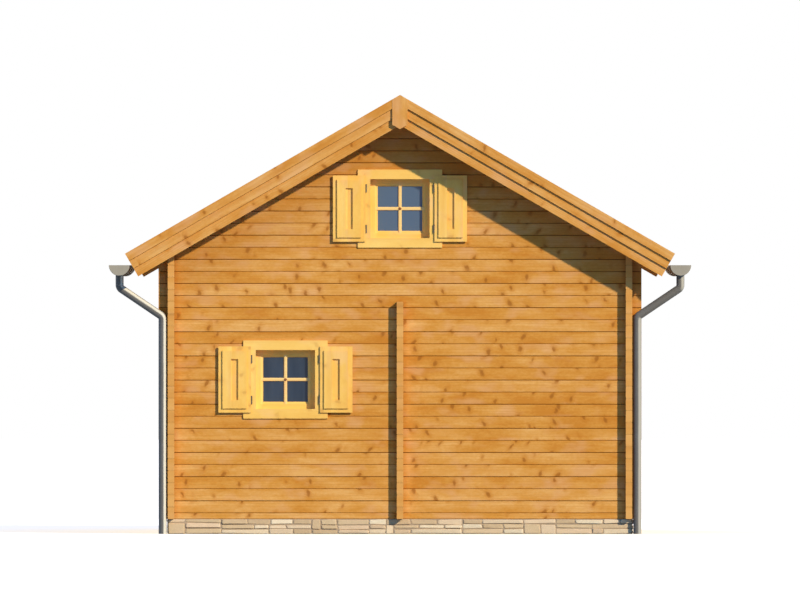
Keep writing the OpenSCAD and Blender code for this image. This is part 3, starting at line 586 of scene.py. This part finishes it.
# sandy mortar behind the stones: grains over slow patches
def mortarFinish(look):
    finish, place = newFinish("mortar", {"Specular IOR Level": look["sheen"]})
    sand = place.cloud(*look["sand"])
    cloud = place.cloud(*look["cloud"])
    colour = (sand * look["sandShare"] + cloud * look["cloudShare"]).ramp(*look["tones"])
    return setFinish(finish, colour, look["rough"] + sand * look["roughSand"], sand * look["sandHigh"])


shingles = {
    "rows": 24, "tabs": 20, "firstSlot": 0.25,  # the first slot's place, as a share of a tab
    "slot": 0.003, "flank": 0.0006,  # half width of a slot and the slant of its sides
    "slotShort": 0.06,  # share of a row that a slot leaves uncut
    "thick": 0.0026, "ragged": 0.004, "ridgeGap": 0.012, "seed": 5,
    "toneShift": 0.25,  # gives each slope its own mix of tones
}
shingles["tabWide"] = 2 * house["roofY"] / shingles["tabs"]
shingleGrit = {
    "sheen": 0.25, "grit": ((700.0, 700.0, 700.0), 2.0, 0.7), "worn": ((1.1, 1.1, 1.1), 3.0, 0.5),
    "tabStep": 61.0, "tabShare": 0.45, "rowShare": 0.2, "wornShare": 0.35,
    "tones": ((0.2, (0.030, 0.031, 0.034)), (0.5, (0.052, 0.053, 0.057)), (0.85, (0.090, 0.089, 0.088))),
    "grain": (0.17, 0.17, 0.165), "grainEdge": (0.55, 0.75), "grainShare": 0.55,
    "rough": 0.82, "roughGrit": 0.15, "gritHigh": 0.0012,
}


# slate grey grit on bitumen: a random tone for each half tab of each row
def shingleFinish(look):
    finish, place = newFinish("shingleGrit", {"Specular IOR Level": look["sheen"]})
    tone = place.node("Attribute", {"attribute_name": "tone"}, {}, "Fac")
    grit = place.cloud(*look["grit"])
    y = place.parts()[1]
    tab = (y / shingles["tabWide"] * 2.0).floor() + tone * look["tabStep"]
    pick = tab.dice()[0]
    worn = place.cloud(*look["worn"])
    mix = pick * look["tabShare"] + tone * look["rowShare"] + worn * look["wornShare"]
    colour = mix.ramp(*look["tones"])
    colour = colour.tinted(look["grain"], grit.rise(*look["grainEdge"]) * look["grainShare"])
    return setFinish(finish, colour, look["rough"] + grit * look["roughGrit"], grit * look["gritHigh"])


zincSheet = {
    "sheen": 0.12, "cloud": ((6.0, 6.0, 6.0), 3.0, 0.5), "streak": ((90.0, 90.0, 3.0), 2.0, 0.5),
    "spangle": (0.30, 0.29, 0.27), "spangleScale": 160.0,
    "spangleEdge": (0.45, 0.85), "spangleShare": 0.25,
    "highlightToward": (0.85, -0.35, 0.40), "start": 0.40, "full": 0.68,  # the way that the painted highlight faces, and where it starts and is full
    "dimSide": (0.80, 0.40, 0.45), "dimSideStart": 0.30, "dimSideFull": 0.62,  # the side where painted shade darkens it again
    "cloudBlotch": 0.12, "streakBlotch": 0.10,
    # colours of the painted shade, the painted highlight, and the dimmer painted shade on the far side
    "shadedSide": (0.146, 0.132, 0.103), "paintedHighlight": (0.73, 0.665, 0.475), "worn": (0.33, 0.295, 0.225),
    "rolled": (0.370, 0.315, 0.208), "rolledRange": (0.8, 1.2), "cloudShare": 0.6, "streakShare": 0.4,
    "left": 1.0, "right": 0.50,  # share of painted highlight on each pipe
    "rough": 0.38, "roughCloud": 0.12, "roughSpangle": 0.06,
}


# zinc sheet with a fine spangle: without painted light it is an even grey, as on the gutters; with a
# share of painted light it is painted dark as shade, with a pale painted highlight on the side that faces
# one given way, where a cosine and cloudy noise say how much, and a dimmer painted shade on the far side
def zincFinish(name, share, look):
    finish, place = newFinish(name, {"Specular IOR Level": look["sheen"]})
    cloud = place.cloud(*look["cloud"])
    streak = place.cloud(*look["streak"])
    cell = {"Vector": place, "Scale": look["spangleScale"]}
    spangle = place.node("TexVoronoi", {"feature": "F1"}, cell, "Color").parts()[0]
    if share > 0:
        # painted light by the surface's facing: a pale painted highlight on one side, painted shade on
        # the rest
        normal = place.node("TexCoord", out="Normal")
        dot = {"operation": "DOT_PRODUCT"}
        facing = place.node("VectorMath", dot, {0: normal, 1: look["highlightToward"]}, "Value")
        dimSide = place.node("VectorMath", dot, {0: normal, 1: look["dimSide"]}, "Value")
        blotch = (cloud - 0.5) * look["cloudBlotch"] + (streak - 0.5) * look["streakBlotch"]
        paintedHighlight = (facing + blotch).rise(look["start"], look["full"]) * share
        # a dimmer grey of painted shade where the pipe faces the far side
        worn = (dimSide + blotch).rise(look["dimSideStart"], look["dimSideFull"])
        colour = paintedHighlight.shade(look["shadedSide"], look["paintedHighlight"]).tinted(look["worn"], worn)
    else:
        mix = cloud * look["cloudShare"] + streak * look["streakShare"]
        colour = mix.shade(*([c * part for c in look["rolled"]] for part in look["rolledRange"]))
    flower = (spangle * 0.5 + cloud * 0.5).rise(*look["spangleEdge"])
    colour = colour.tinted(look["spangle"], flower * look["spangleShare"])
    rough = look["rough"] + cloud * look["roughCloud"] + spangle * look["roughSpangle"]
    return setFinish(finish, colour, rough)


paneGlass = {
    "fixed": {"Transmission Weight": 0.2, "IOR": 1.5, "Roughness": 0.03, "Specular IOR Level": 0.3},
    "veil": ((9.0, 2.0, 1.6), 2.0, 0.5), "wave": ((3.0, 1.0, 3.0), 1.0, 0.5),
    "tones": ((0.3, (0.022, 0.040, 0.066)), (0.7, (0.040, 0.062, 0.092))),
    "upper": (0.102, 0.160, 0.224), "upperFrom": 2.2, "upperTo": 3.2, "upperShare": 0.9,
    "waveHigh": 0.0006, "bump": 0.2,
}


# window glass: a dark blue pane, a little uneven, that is paler in the upper windows
def glassFinish(look):
    finish, place = newFinish("windowGlass", look["fixed"])
    z = place.parts()[2]
    colour = place.cloud(*look["veil"]).ramp(*look["tones"])
    colour = colour.tinted(look["upper"], z.rise(look["upperFrom"], look["upperTo"]) * look["upperShare"])
    return setFinish(finish, colour, None, place.cloud(*look["wave"]) * look["waveHigh"], look["bump"])


forgedIron = {
    "fixed": {"Metallic": 0.2, "Specular IOR Level": 0.4}, "patch": ((60.0, 60.0, 60.0), 3.0, 0.5),
    "tones": ((0.3, (0.070, 0.056, 0.042)), (0.7, (0.130, 0.105, 0.078))),
    "rough": 0.42, "roughPatch": 0.25, "high": 0.0004,
}
turnedWood = {
    "fixed": {"Specular IOR Level": 0.4}, "patch": ((90.0, 400.0, 90.0), 2.0, 0.5),
    "tones": ((0.3, (0.17, 0.050, 0.008)), (0.7, (0.30, 0.095, 0.016))),
    "rough": 0.4, "roughPatch": 0.2, "high": 0.0003,
}


# forged iron under dark brown paint, and the turned wood of the small buttons: one noise is
# the tone, the roughness and the height
def patchyFinish(name, look):
    finish, place = newFinish(name, look["fixed"])
    patch = place.cloud(*look["patch"])
    rough = look["rough"] + patch * look["roughPatch"]
    return setFinish(finish, patch.ramp(*look["tones"]), rough, patch * look["high"])


stoneFace = stoneFinish(splitStone)
mortar = mortarFinish(mortarSand)
grit = shingleFinish(shingleGrit)
gutterZinc = zincFinish("gutterZinc", 0.0, zincSheet)
leftPipeZinc = zincFinish("leftPipeZinc", zincSheet["left"], zincSheet)
rightPipeZinc = zincFinish("rightPipeZinc", zincSheet["right"], zincSheet)
glass = glassFinish(paneGlass)
iron = patchyFinish("hingeIron", forgedIron)
button = patchyFinish("buttonWood", turnedWood)
print("finishes: stone, roof, metal and glass done")


stones = {
    "courses": 3, "bay": (0.5, 1.1), "uneven": (0.7, 1.4),
    "long": (0.16, 0.52), "tall": (0.08, 0.20), "tallShare": 0.16, "level": 0.25, "shortest": 0.08,
    "joint": 0.002, "corner": 0.010, "cornerMost": 0.6, "cornerPoints": 4,
    "sunk": 0.003, "proud": (0.003, 0.014), "tilt": 0.003, "chip": 0.0028,
    "slant": (-0.009, 0.001),  # how far a corner may shift, so that joints aren't quite level or upright
    "inset": (0.0, 0.0, 0.0015, 0.0055),  # how far the rings draw in, from the back to the face
    "share": (0.0, 0.45, 0.85, 1.0),  # and how far out they lie
    "hair": 1e-6,  # a length that counts as nothing
    "seed": 11,
}


# stones along a wall, as left, right, low and high: in each bay the course that lags most gets the
# next stone, two courses that end level may share a tall one, and a stone may end level with a neighbour
def layStones(length, top, rng):
    laid = []
    left = 0.0
    while left < length - stones["hair"]:
        right = left + rng.uniform(*stones["bay"])
        right = length if length - right < stones["bay"][0] else right
        lines = np.cumsum(rng.uniform(*stones["uneven"], stones["courses"]))
        lines = np.concatenate(([0.0], lines / lines[-1] * top))
        front = [left] * stones["courses"]
        while min(front) < right - stones["hair"]:
            k = front.index(min(front))
            tall = k + 1 < len(front) and front[k + 1] == front[k] and rng.random() < stones["tallShare"]
            end = front[k] + rng.uniform(*stones["tall" if tall else "long"])
            ahead = [f for f in front if stones["shortest"] < f - front[k] < stones["long"][1]]
            if ahead and rng.random() < stones["level"]:
                end = ahead[0]
            end = right if right - end < stones["shortest"] else end
            laid.append((front[k], end, lines[k], lines[k + 1 + tall]))
            front[k:k + 1 + tall] = [end] * (1 + tall)
        left = right
    return np.array(laid)


# stone bodies on a wall: a rectangle with round corners, carried outwards through rings that
# draw in towards the face; each face tilts a little and each outline is chipped
def stoneRings(laid, origin, along, out, rng):
    count, n = len(laid), stones["cornerPoints"]
    point = np.arange(4 * n)
    turn = (point // n * 0.5 + (point % n) / (2.0 * (n - 1))) * math.pi
    arc = np.stack((np.cos(turn), np.sin(turn)), axis=-1)
    sign = np.array([(1, 1), (-1, 1), (-1, -1), (1, -1)], float).repeat(n, axis=0)
    middle = np.stack(((laid[:, 0] + laid[:, 1]) / 2, (laid[:, 2] + laid[:, 3]) / 2), axis=-1)
    half = np.stack((laid[:, 1] - laid[:, 0], laid[:, 3] - laid[:, 2]), axis=-1) / 2 - stones["joint"] / 2
    chip = rng.uniform(-stones["chip"], 0.0, (count, 4 * n, 1))
    proud = rng.uniform(*stones["proud"], count)
    tilt = rng.uniform(-stones["tilt"], stones["tilt"], (count, 2))
    inset, share = np.array(stones["inset"]), np.array(stones["share"])
    corner = np.minimum(stones["corner"], half.min(axis=1) * stones["cornerMost"])[:, None, None]
    slant = rng.uniform(*stones["slant"], (count, 4, 2)).repeat(n, axis=1)
    outline = sign * (half[:, None, :] - corner + slant) + arc * (corner + chip)
    flat = outline[:, None] * (1 - inset[None, :, None, None] / half.min(axis=1)[:, None, None, None])
    lean = ((outline / half[:, None, :]) * tilt[:, None, :]).sum(axis=-1)
    depth = share[None, :, None] * (proud[:, None, None] + lean[:, None, :])
    depth[:, 0] = -stones["sunk"]
    u = flat[..., 0] + middle[:, None, None, 0]
    v = flat[..., 1] + middle[:, None, None, 1]
    up = np.array((0.0, 0.0, 1.0))
    return origin + u[..., None] * along + v[..., None] * up + depth[..., None] * out


# the four walls of the plinth: where each starts, the way along it, the way out of it and its length;
# the stones of the gables lap over those of the sides
rng = np.random.default_rng(stones["seed"])
wx, wy, lap = house["wallX"], house["wallY"], stones["proud"][0]
stoneWalls = (
    ((-wx - lap, -wy, 0), (1, 0, 0), (0, -1, 0), 2 * (wx + lap)),
    ((wx + lap, wy, 0), (-1, 0, 0), (0, 1, 0), 2 * (wx + lap)),
    ((-wx, wy, 0), (0, -1, 0), (-1, 0, 0), 2 * wy),
    ((wx, -wy, 0), (0, 1, 0), (1, 0, 0), 2 * wy),
)
wallRings = []
for *ways, length in stoneWalls:
    laid = layStones(length, house["plinthTop"], rng)
    wallRings.append(stoneRings(laid, *np.array(ways, float), rng))
rings = np.concatenate(wallRings)
addPiece("plinthStones", rings, stoneFace, tone=rng.random(len(rings)))


# a strip for each row of shingles: it starts one row higher, rests on the strip below it and
# ends in tabs; height above the boards grows evenly down the strip, by two thicknesses in all
def shingleRings(side, rng):
    n, tabs, thick = shingles["rows"], shingles["tabs"], shingles["thick"]
    step = eaveLen / n
    row = np.arange(n)[:, None]
    first = shingles["firstSlot"] + 0.5 * (row % 2)
    centre = -house["roofY"] + (np.arange(tabs)[None, :] + first) * shingles["tabWide"]
    offset = np.array((-1, 0, 0, 1)) * shingles["flank"] + np.array((-1, -1, 1, 1)) * shingles["slot"]
    slots = (centre[:, :, None] + offset).reshape(n, -1)
    y = np.concatenate((np.full((n, 1), -house["roofY"]), slots, np.full((n, 1), house["roofY"])), axis=1)
    ragged = rng.uniform(-shingles["ragged"], 0.0, (n, tabs + 1)).repeat(4, axis=1)[:, 1:-1]
    ragged[-1] = 0.0
    inSlot = np.zeros(y.shape[1], bool)
    inSlot[2::4], inSlot[3::4] = True, True
    low = np.where(inSlot[None, :], row * step + step * shingles["slotShort"], (row + 1) * step + ragged)
    top = np.broadcast_to(np.maximum((row - 1) * step, shingles["ridgeGap"]), low.shape)
    s = np.stack((top, low, low, top), axis=-1)
    height = thick * (s - (row[:, :, None] - 1) * step) / step + np.array((thick, thick, 0.0, 0.0))
    x, z = onSlope(s, house["coverDepth"] - height)
    return np.stack((side * x, np.broadcast_to(y[:, :, None], x.shape), z), axis=-1)


rng = np.random.default_rng(shingles["seed"])
for side, name in ((-1, "left"), (1, "right")):
    rings = shingleRings(side, rng)
    tone = (np.arange(len(rings)) + side * shingles["toneShift"]) / len(rings)
    addPiece(name + "Shingles", rings, grit, [name + "_roof_covering"], tone)


ridge = {
    "count": 27, "tuck": 0.07, "wing": 0.128, "round": 0.012, "base": 0.0117, "lift": 0.0003,
    "points": 13, "tones": 7.0,  # points across, and pieces until a tone comes again
}


# ridge shingles: a roof shaped section with a round top, carried along the ridge; the front end of
# each piece lies on the tail of the piece before it
def ridgeRings():
    thick = shingles["thick"]
    step = 2 * house["roofY"] / ridge["count"]
    x = np.linspace(-1, 1, ridge["points"]) * ridge["wing"] * cosPitch
    front = -house["roofY"] + np.arange(ridge["count"]) * step
    y = np.stack((front, np.minimum(front + step + ridge["tuck"], house["roofY"])), axis=-1)
    lift = ridge["lift"] + np.array((thick, 0.0))
    depth = ridge["base"] - np.stack((lift + thick, lift), axis=-1)
    drop = tanPitch * np.sqrt(x * x + ridge["round"] ** 2)
    z = house["ridgeTop"] - depth[:, :, None] / cosPitch - drop
    z = np.concatenate((z[:, 0], z[:, 1, ::-1]), axis=-1)
    x = np.concatenate((x, x[::-1]))
    shape = (ridge["count"], 2, len(x))
    return np.stack([np.broadcast_to(v, shape) for v in (x, y[:, :, None], z)], axis=-1)


rings = ridgeRings()
tone = np.arange(len(rings)) / ridge["tones"] % 1.0
addPiece("ridgeShingles", rings, grit, ["ridge_cap"], tone)


# places along a row of boards and how deep each lies: flat boards with a V groove at each joint
def groovedRow(start, end, boards):
    half, deep, count = boards["groove"], boards["grooveDeep"], boards["count"]
    joint = np.linspace(start, end, count + 1)[1:-1, None]
    place = np.concatenate(([start], (joint + np.array((-half, 0.0, half))).ravel(), [end]))
    depth = np.concatenate(([0.0], np.tile((0.0, deep, 0.0), count - 1), [0.0]))
    return place, depth


# roof boards: the section of the slope carried along the cabin, its underside cut back in each groove
def roofBoardRings(side):
    y, deep = groovedRow(-house["roofY"], house["roofY"], roofBoards)
    top = np.full(len(y), house["coverDepth"])
    under = house["boardDepth"] - deep
    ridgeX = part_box("right_roof_boards")[0].x
    eave = [onSlope(eaveLen - roofBoards["eavesCut"], t) for t in (top, under)]
    ridgeZ = [house["ridgeTop"] - ridgeX * tanPitch - t / cosPitch for t in (top, under)]
    x = np.stack((np.full(len(y), ridgeX), eave[0][0], eave[1][0], np.full(len(y), ridgeX)), axis=-1)
    z = np.stack((ridgeZ[0], eave[0][1], eave[1][1], ridgeZ[1]), axis=-1)
    return np.stack((side * x, np.broadcast_to(y[:, None], x.shape), z), axis=-1)[None]


for side, name in ((-1, "left"), (1, "right")):
    addPiece(name + "RoofBoards", roofBoardRings(side), roofWood, [name + "_roof_boards"])


# door: upright boards with a groove at each joint on both faces
def doorRings():
    x, deep = groovedRow(doorLow.x, doorHigh.x, doorBoards)
    outer, inner = doorHigh.y - deep, doorLow.y + deep
    y = np.stack((outer, outer, inner, inner), axis=-1)
    z = np.broadcast_to((doorLow.z, doorHigh.z, doorHigh.z, doorLow.z), y.shape)
    return np.stack((np.broadcast_to(x[:, None], y.shape), y, z), axis=-1)[None]


addPiece("doorBoards", doorRings(), doorWood, ["door_leaf"])


bars = {
    "wide": 0.036, "thick": 0.0155, "edge": 0.009, "ease": 0.3,  # ease is how far the edges are rounded
    "bite": 0.024, "lower": 0.001, "gap": 0.0002,
    "buttonRadius": (0.015, 0.0153, 0.0142, 0.0108, 0.005),
    "buttonHeight": (-0.002, 0.0035, 0.0064, 0.0084, 0.0092), "buttonSides": 20,
}


# bars of one wall's windows: a bar section with rounded front edges carried up and across each
# opening, on the glass; the level bar lies a little lower than the upright one
def barRings(glassY, out):
    w, t, e, r = bars["wide"] / 2, bars["thick"], bars["edge"], bars["edge"] * bars["ease"]
    section = np.array([(-w, 0), (-w, t - e), (-w + r, t - r), (-w + e, t),
                        (w - e, t), (w - r, t - r), (w, t - e), (w, 0)])
    reachX = window["wide"] / 2 - window["sash"] + bars["bite"]
    reachZ = window["high"] / 2 - window["sash"] + bars["bite"]
    made = []
    for cx, cz in windowPlaces:
        for upright in (True, False):
            ends = np.array((-1.0, 1.0))[:, None] * (reachZ if upright else reachX)
            across = np.broadcast_to(section[:, 0], (2, len(section)))
            path = np.broadcast_to(ends, across.shape)
            height = np.minimum(section[:, 1], t if upright else t - bars["lower"])
            x, z = (cx + across, cz + path) if upright else (cx + path, cz + across)
            y = np.broadcast_to(glassY + out * (height + bars["gap"]), x.shape)
            made.append(np.stack((x, y, z), axis=-1))
    return np.stack(made)


# a button at each crossing: rings of the turned outline, carried out from the bar
def buttonRings(glassY, out):
    turn = np.linspace(0, 2 * math.pi, bars["buttonSides"], endpoint=False)
    radius, height = (np.array(bars[k])[:, None] for k in ("buttonRadius", "buttonHeight"))
    y = np.broadcast_to(glassY + out * (bars["thick"] + height), (len(radius), len(turn)))
    return np.stack([np.stack((cx + radius * np.cos(turn), y, cz + radius * np.sin(turn)), axis=-1)
                     for cx, cz in windowPlaces])


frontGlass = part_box("front_panes")[0].y
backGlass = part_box("back_panes")[1].y
for name, glassY, out in (("front", frontGlass, -1), ("back", backGlass, 1)):
    addPiece(name + "WindowBars", barRings(glassY, out), barWood)
    addPiece(name + "BarButtons", buttonRings(glassY, out), button)


finishOf = {
    "plinth": mortar,
    "front_wall_logs": gableWood, "back_wall_logs": gableWood,
    "left_wall_logs": sideWood, "right_wall_logs": sideWood, "partition_logs": sideWood,
    "floor_joists": floorWood, "floor_boards": floorWood,
    "loft_bearers": floorWood, "loft_joists": floorWood, "loft_floor": floorWood,
    "ridge_purlin": purlinWood, "side_purlins": purlinWood, "eaves_boards": eavesWood,
    "left_gutter": gutterZinc, "right_gutter": gutterZinc, "gutter_brackets": gutterZinc,
    "left_downpipe": leftPipeZinc, "right_downpipe": rightPipeZinc,
    "door_frame": doorWood, "doorway_lining": doorWood,
    "hinge_pins": iron, "door_handle": iron,
}
for end in ("front", "back"):
    for part in ("edge_boards", "edge_middles", "edge_strips"):
        finishOf[end + "_" + part] = edgeWood
    for part in ("casings", "window_frames"):
        finishOf[end + "_" + part] = casingWood
    finishOf[end + "_apex_plate"] = plateWood
    finishOf[end + "_sashes"] = sashWood
    finishOf[end + "_panes"] = glass
for level in ("lower", "upper"):
    for side in ("left", "right"):
        finishOf[level + "_" + side + "_shutter"] = shutterWood
        finishOf[level + "_" + side + "_hinges"] = iron
for node, finish in finishOf.items():
    nodes[node].data.materials.clear()
    nodes[node].data.materials.append(finish)
print("nodes finished:", len(finishOf))


studio = {
    "sky": (0.120, 0.326, 0.785), "backdrop": (1.0, 1.0, 1.0),
    "key": {"toward": (0.91, -1.0, 0.695), "strength": 4.12, "angle": 1.6, "colour": (1.0, 0.905, 0.785)},
    "fill": {"toward": (-0.85, 1.0, 0.75), "strength": 2.2, "angle": 40.0, "colour": (0.93, 0.96, 1.0)},
    "floorSize": 400.0, "floorDrop": 0.001, "floorRough": 0.9,
    "floorColour": (0.82, 0.82, 0.82), "floorDim": (0.205, 0.25, 0.29),
    "floorGlow": 0.56, "glowColour": (1.0, 0.75, 0.28),  # warm, so that a shadow under a blue sky is grey
}


# a lamp far away in a direction, as a source that spans an angle in degrees
def addSun(name, sun):
    lamp = bpy.data.lights.new(name, "SUN")
    lamp.energy, lamp.angle, lamp.color = sun["strength"], math.radians(sun["angle"]), sun["colour"]
    source = bpy.data.objects.new(name, lamp)
    toward = np.array(sun["toward"]) / np.linalg.norm(sun["toward"])
    source.rotation_euler = (math.acos(toward[2]), 0, math.atan2(toward[0], -toward[1]))
    bpy.context.scene.collection.objects.link(source)


# 1 for the rays that see the background: from the camera, off a gloss or through glass
def seenRays(wire):
    kinds = ("Is Camera Ray", "Is Glossy Ray", "Is Transmission Ray")
    rays = [wire.node("LightPath", out=kind) for kind in kinds]
    return wire.maths("MAXIMUM", wire.maths("MAXIMUM", rays[0], rays[1]), rays[2])


world = bpy.data.worlds.new("studio")
bpy.context.scene.world = world
world.use_nodes = True
sky = seenRays(Wire(world.node_tree)).shade(studio["sky"], studio["backdrop"])
world.node_tree.links.new(sky.socket, world.node_tree.nodes["Background"].inputs["Color"])
for name in ("key", "fill"):
    addSun(name, studio[name])

# pale floor: it takes the shadow, and a share of glow lifts it to white for the rays that see it;
# for the light that it throws back at the cabin it counts as a dimmer floor
half, drop = studio["floorSize"] / 2, studio["floorDrop"]
corners = [(x * half, y * half, -drop) for x, y in ((-1, -1), (1, -1), (1, 1), (-1, 1))]
floorMesh = bpy.data.meshes.new("floor")
floorMesh.from_pydata(corners, [], [(0, 1, 2, 3)])
floorFixed = {"Roughness": studio["floorRough"], "Specular IOR Level": 0.0,
              "Emission Strength": studio["floorGlow"]}
floorFinish, place = newFinish("paleFloor", floorFixed)
seen = seenRays(place)
setFinish(floorFinish, seen.shade(studio["floorDim"], studio["floorColour"]))
glow = floorFinish.node_tree.nodes["Principled BSDF"].inputs["Emission Color"]
floorFinish.node_tree.links.new(seen.shade((0, 0, 0), studio["glowColour"]).socket, glow)
floorMesh.materials.append(floorFinish)
floor = bpy.data.objects.new("floor", floorMesh)
bpy.context.scene.collection.objects.link(floor)


# the camera looks level at the front gable from far away, where hardly any perspective is left
camera = {"away": 300.0, "height": 2.518, "frameWide": 8.613, "sensor": 36.0, "near": 1.0, "far": 900.0}
lens = bpy.data.cameras.new("camera")
lens.sensor_width = camera["sensor"]
lens.lens = camera["sensor"] * camera["away"] / camera["frameWide"]
lens.clip_start, lens.clip_end = camera["near"], camera["far"]
eye = bpy.data.objects.new("camera", lens)
eye.location = (0, -house["wallY"] - camera["away"], camera["height"])
eye.rotation_euler = (math.pi / 2, 0, 0)
bpy.context.scene.collection.objects.link(eye)
bpy.context.scene.camera = eye
bpy.context.scene.view_settings.view_transform = "Standard"
print("studio ready")
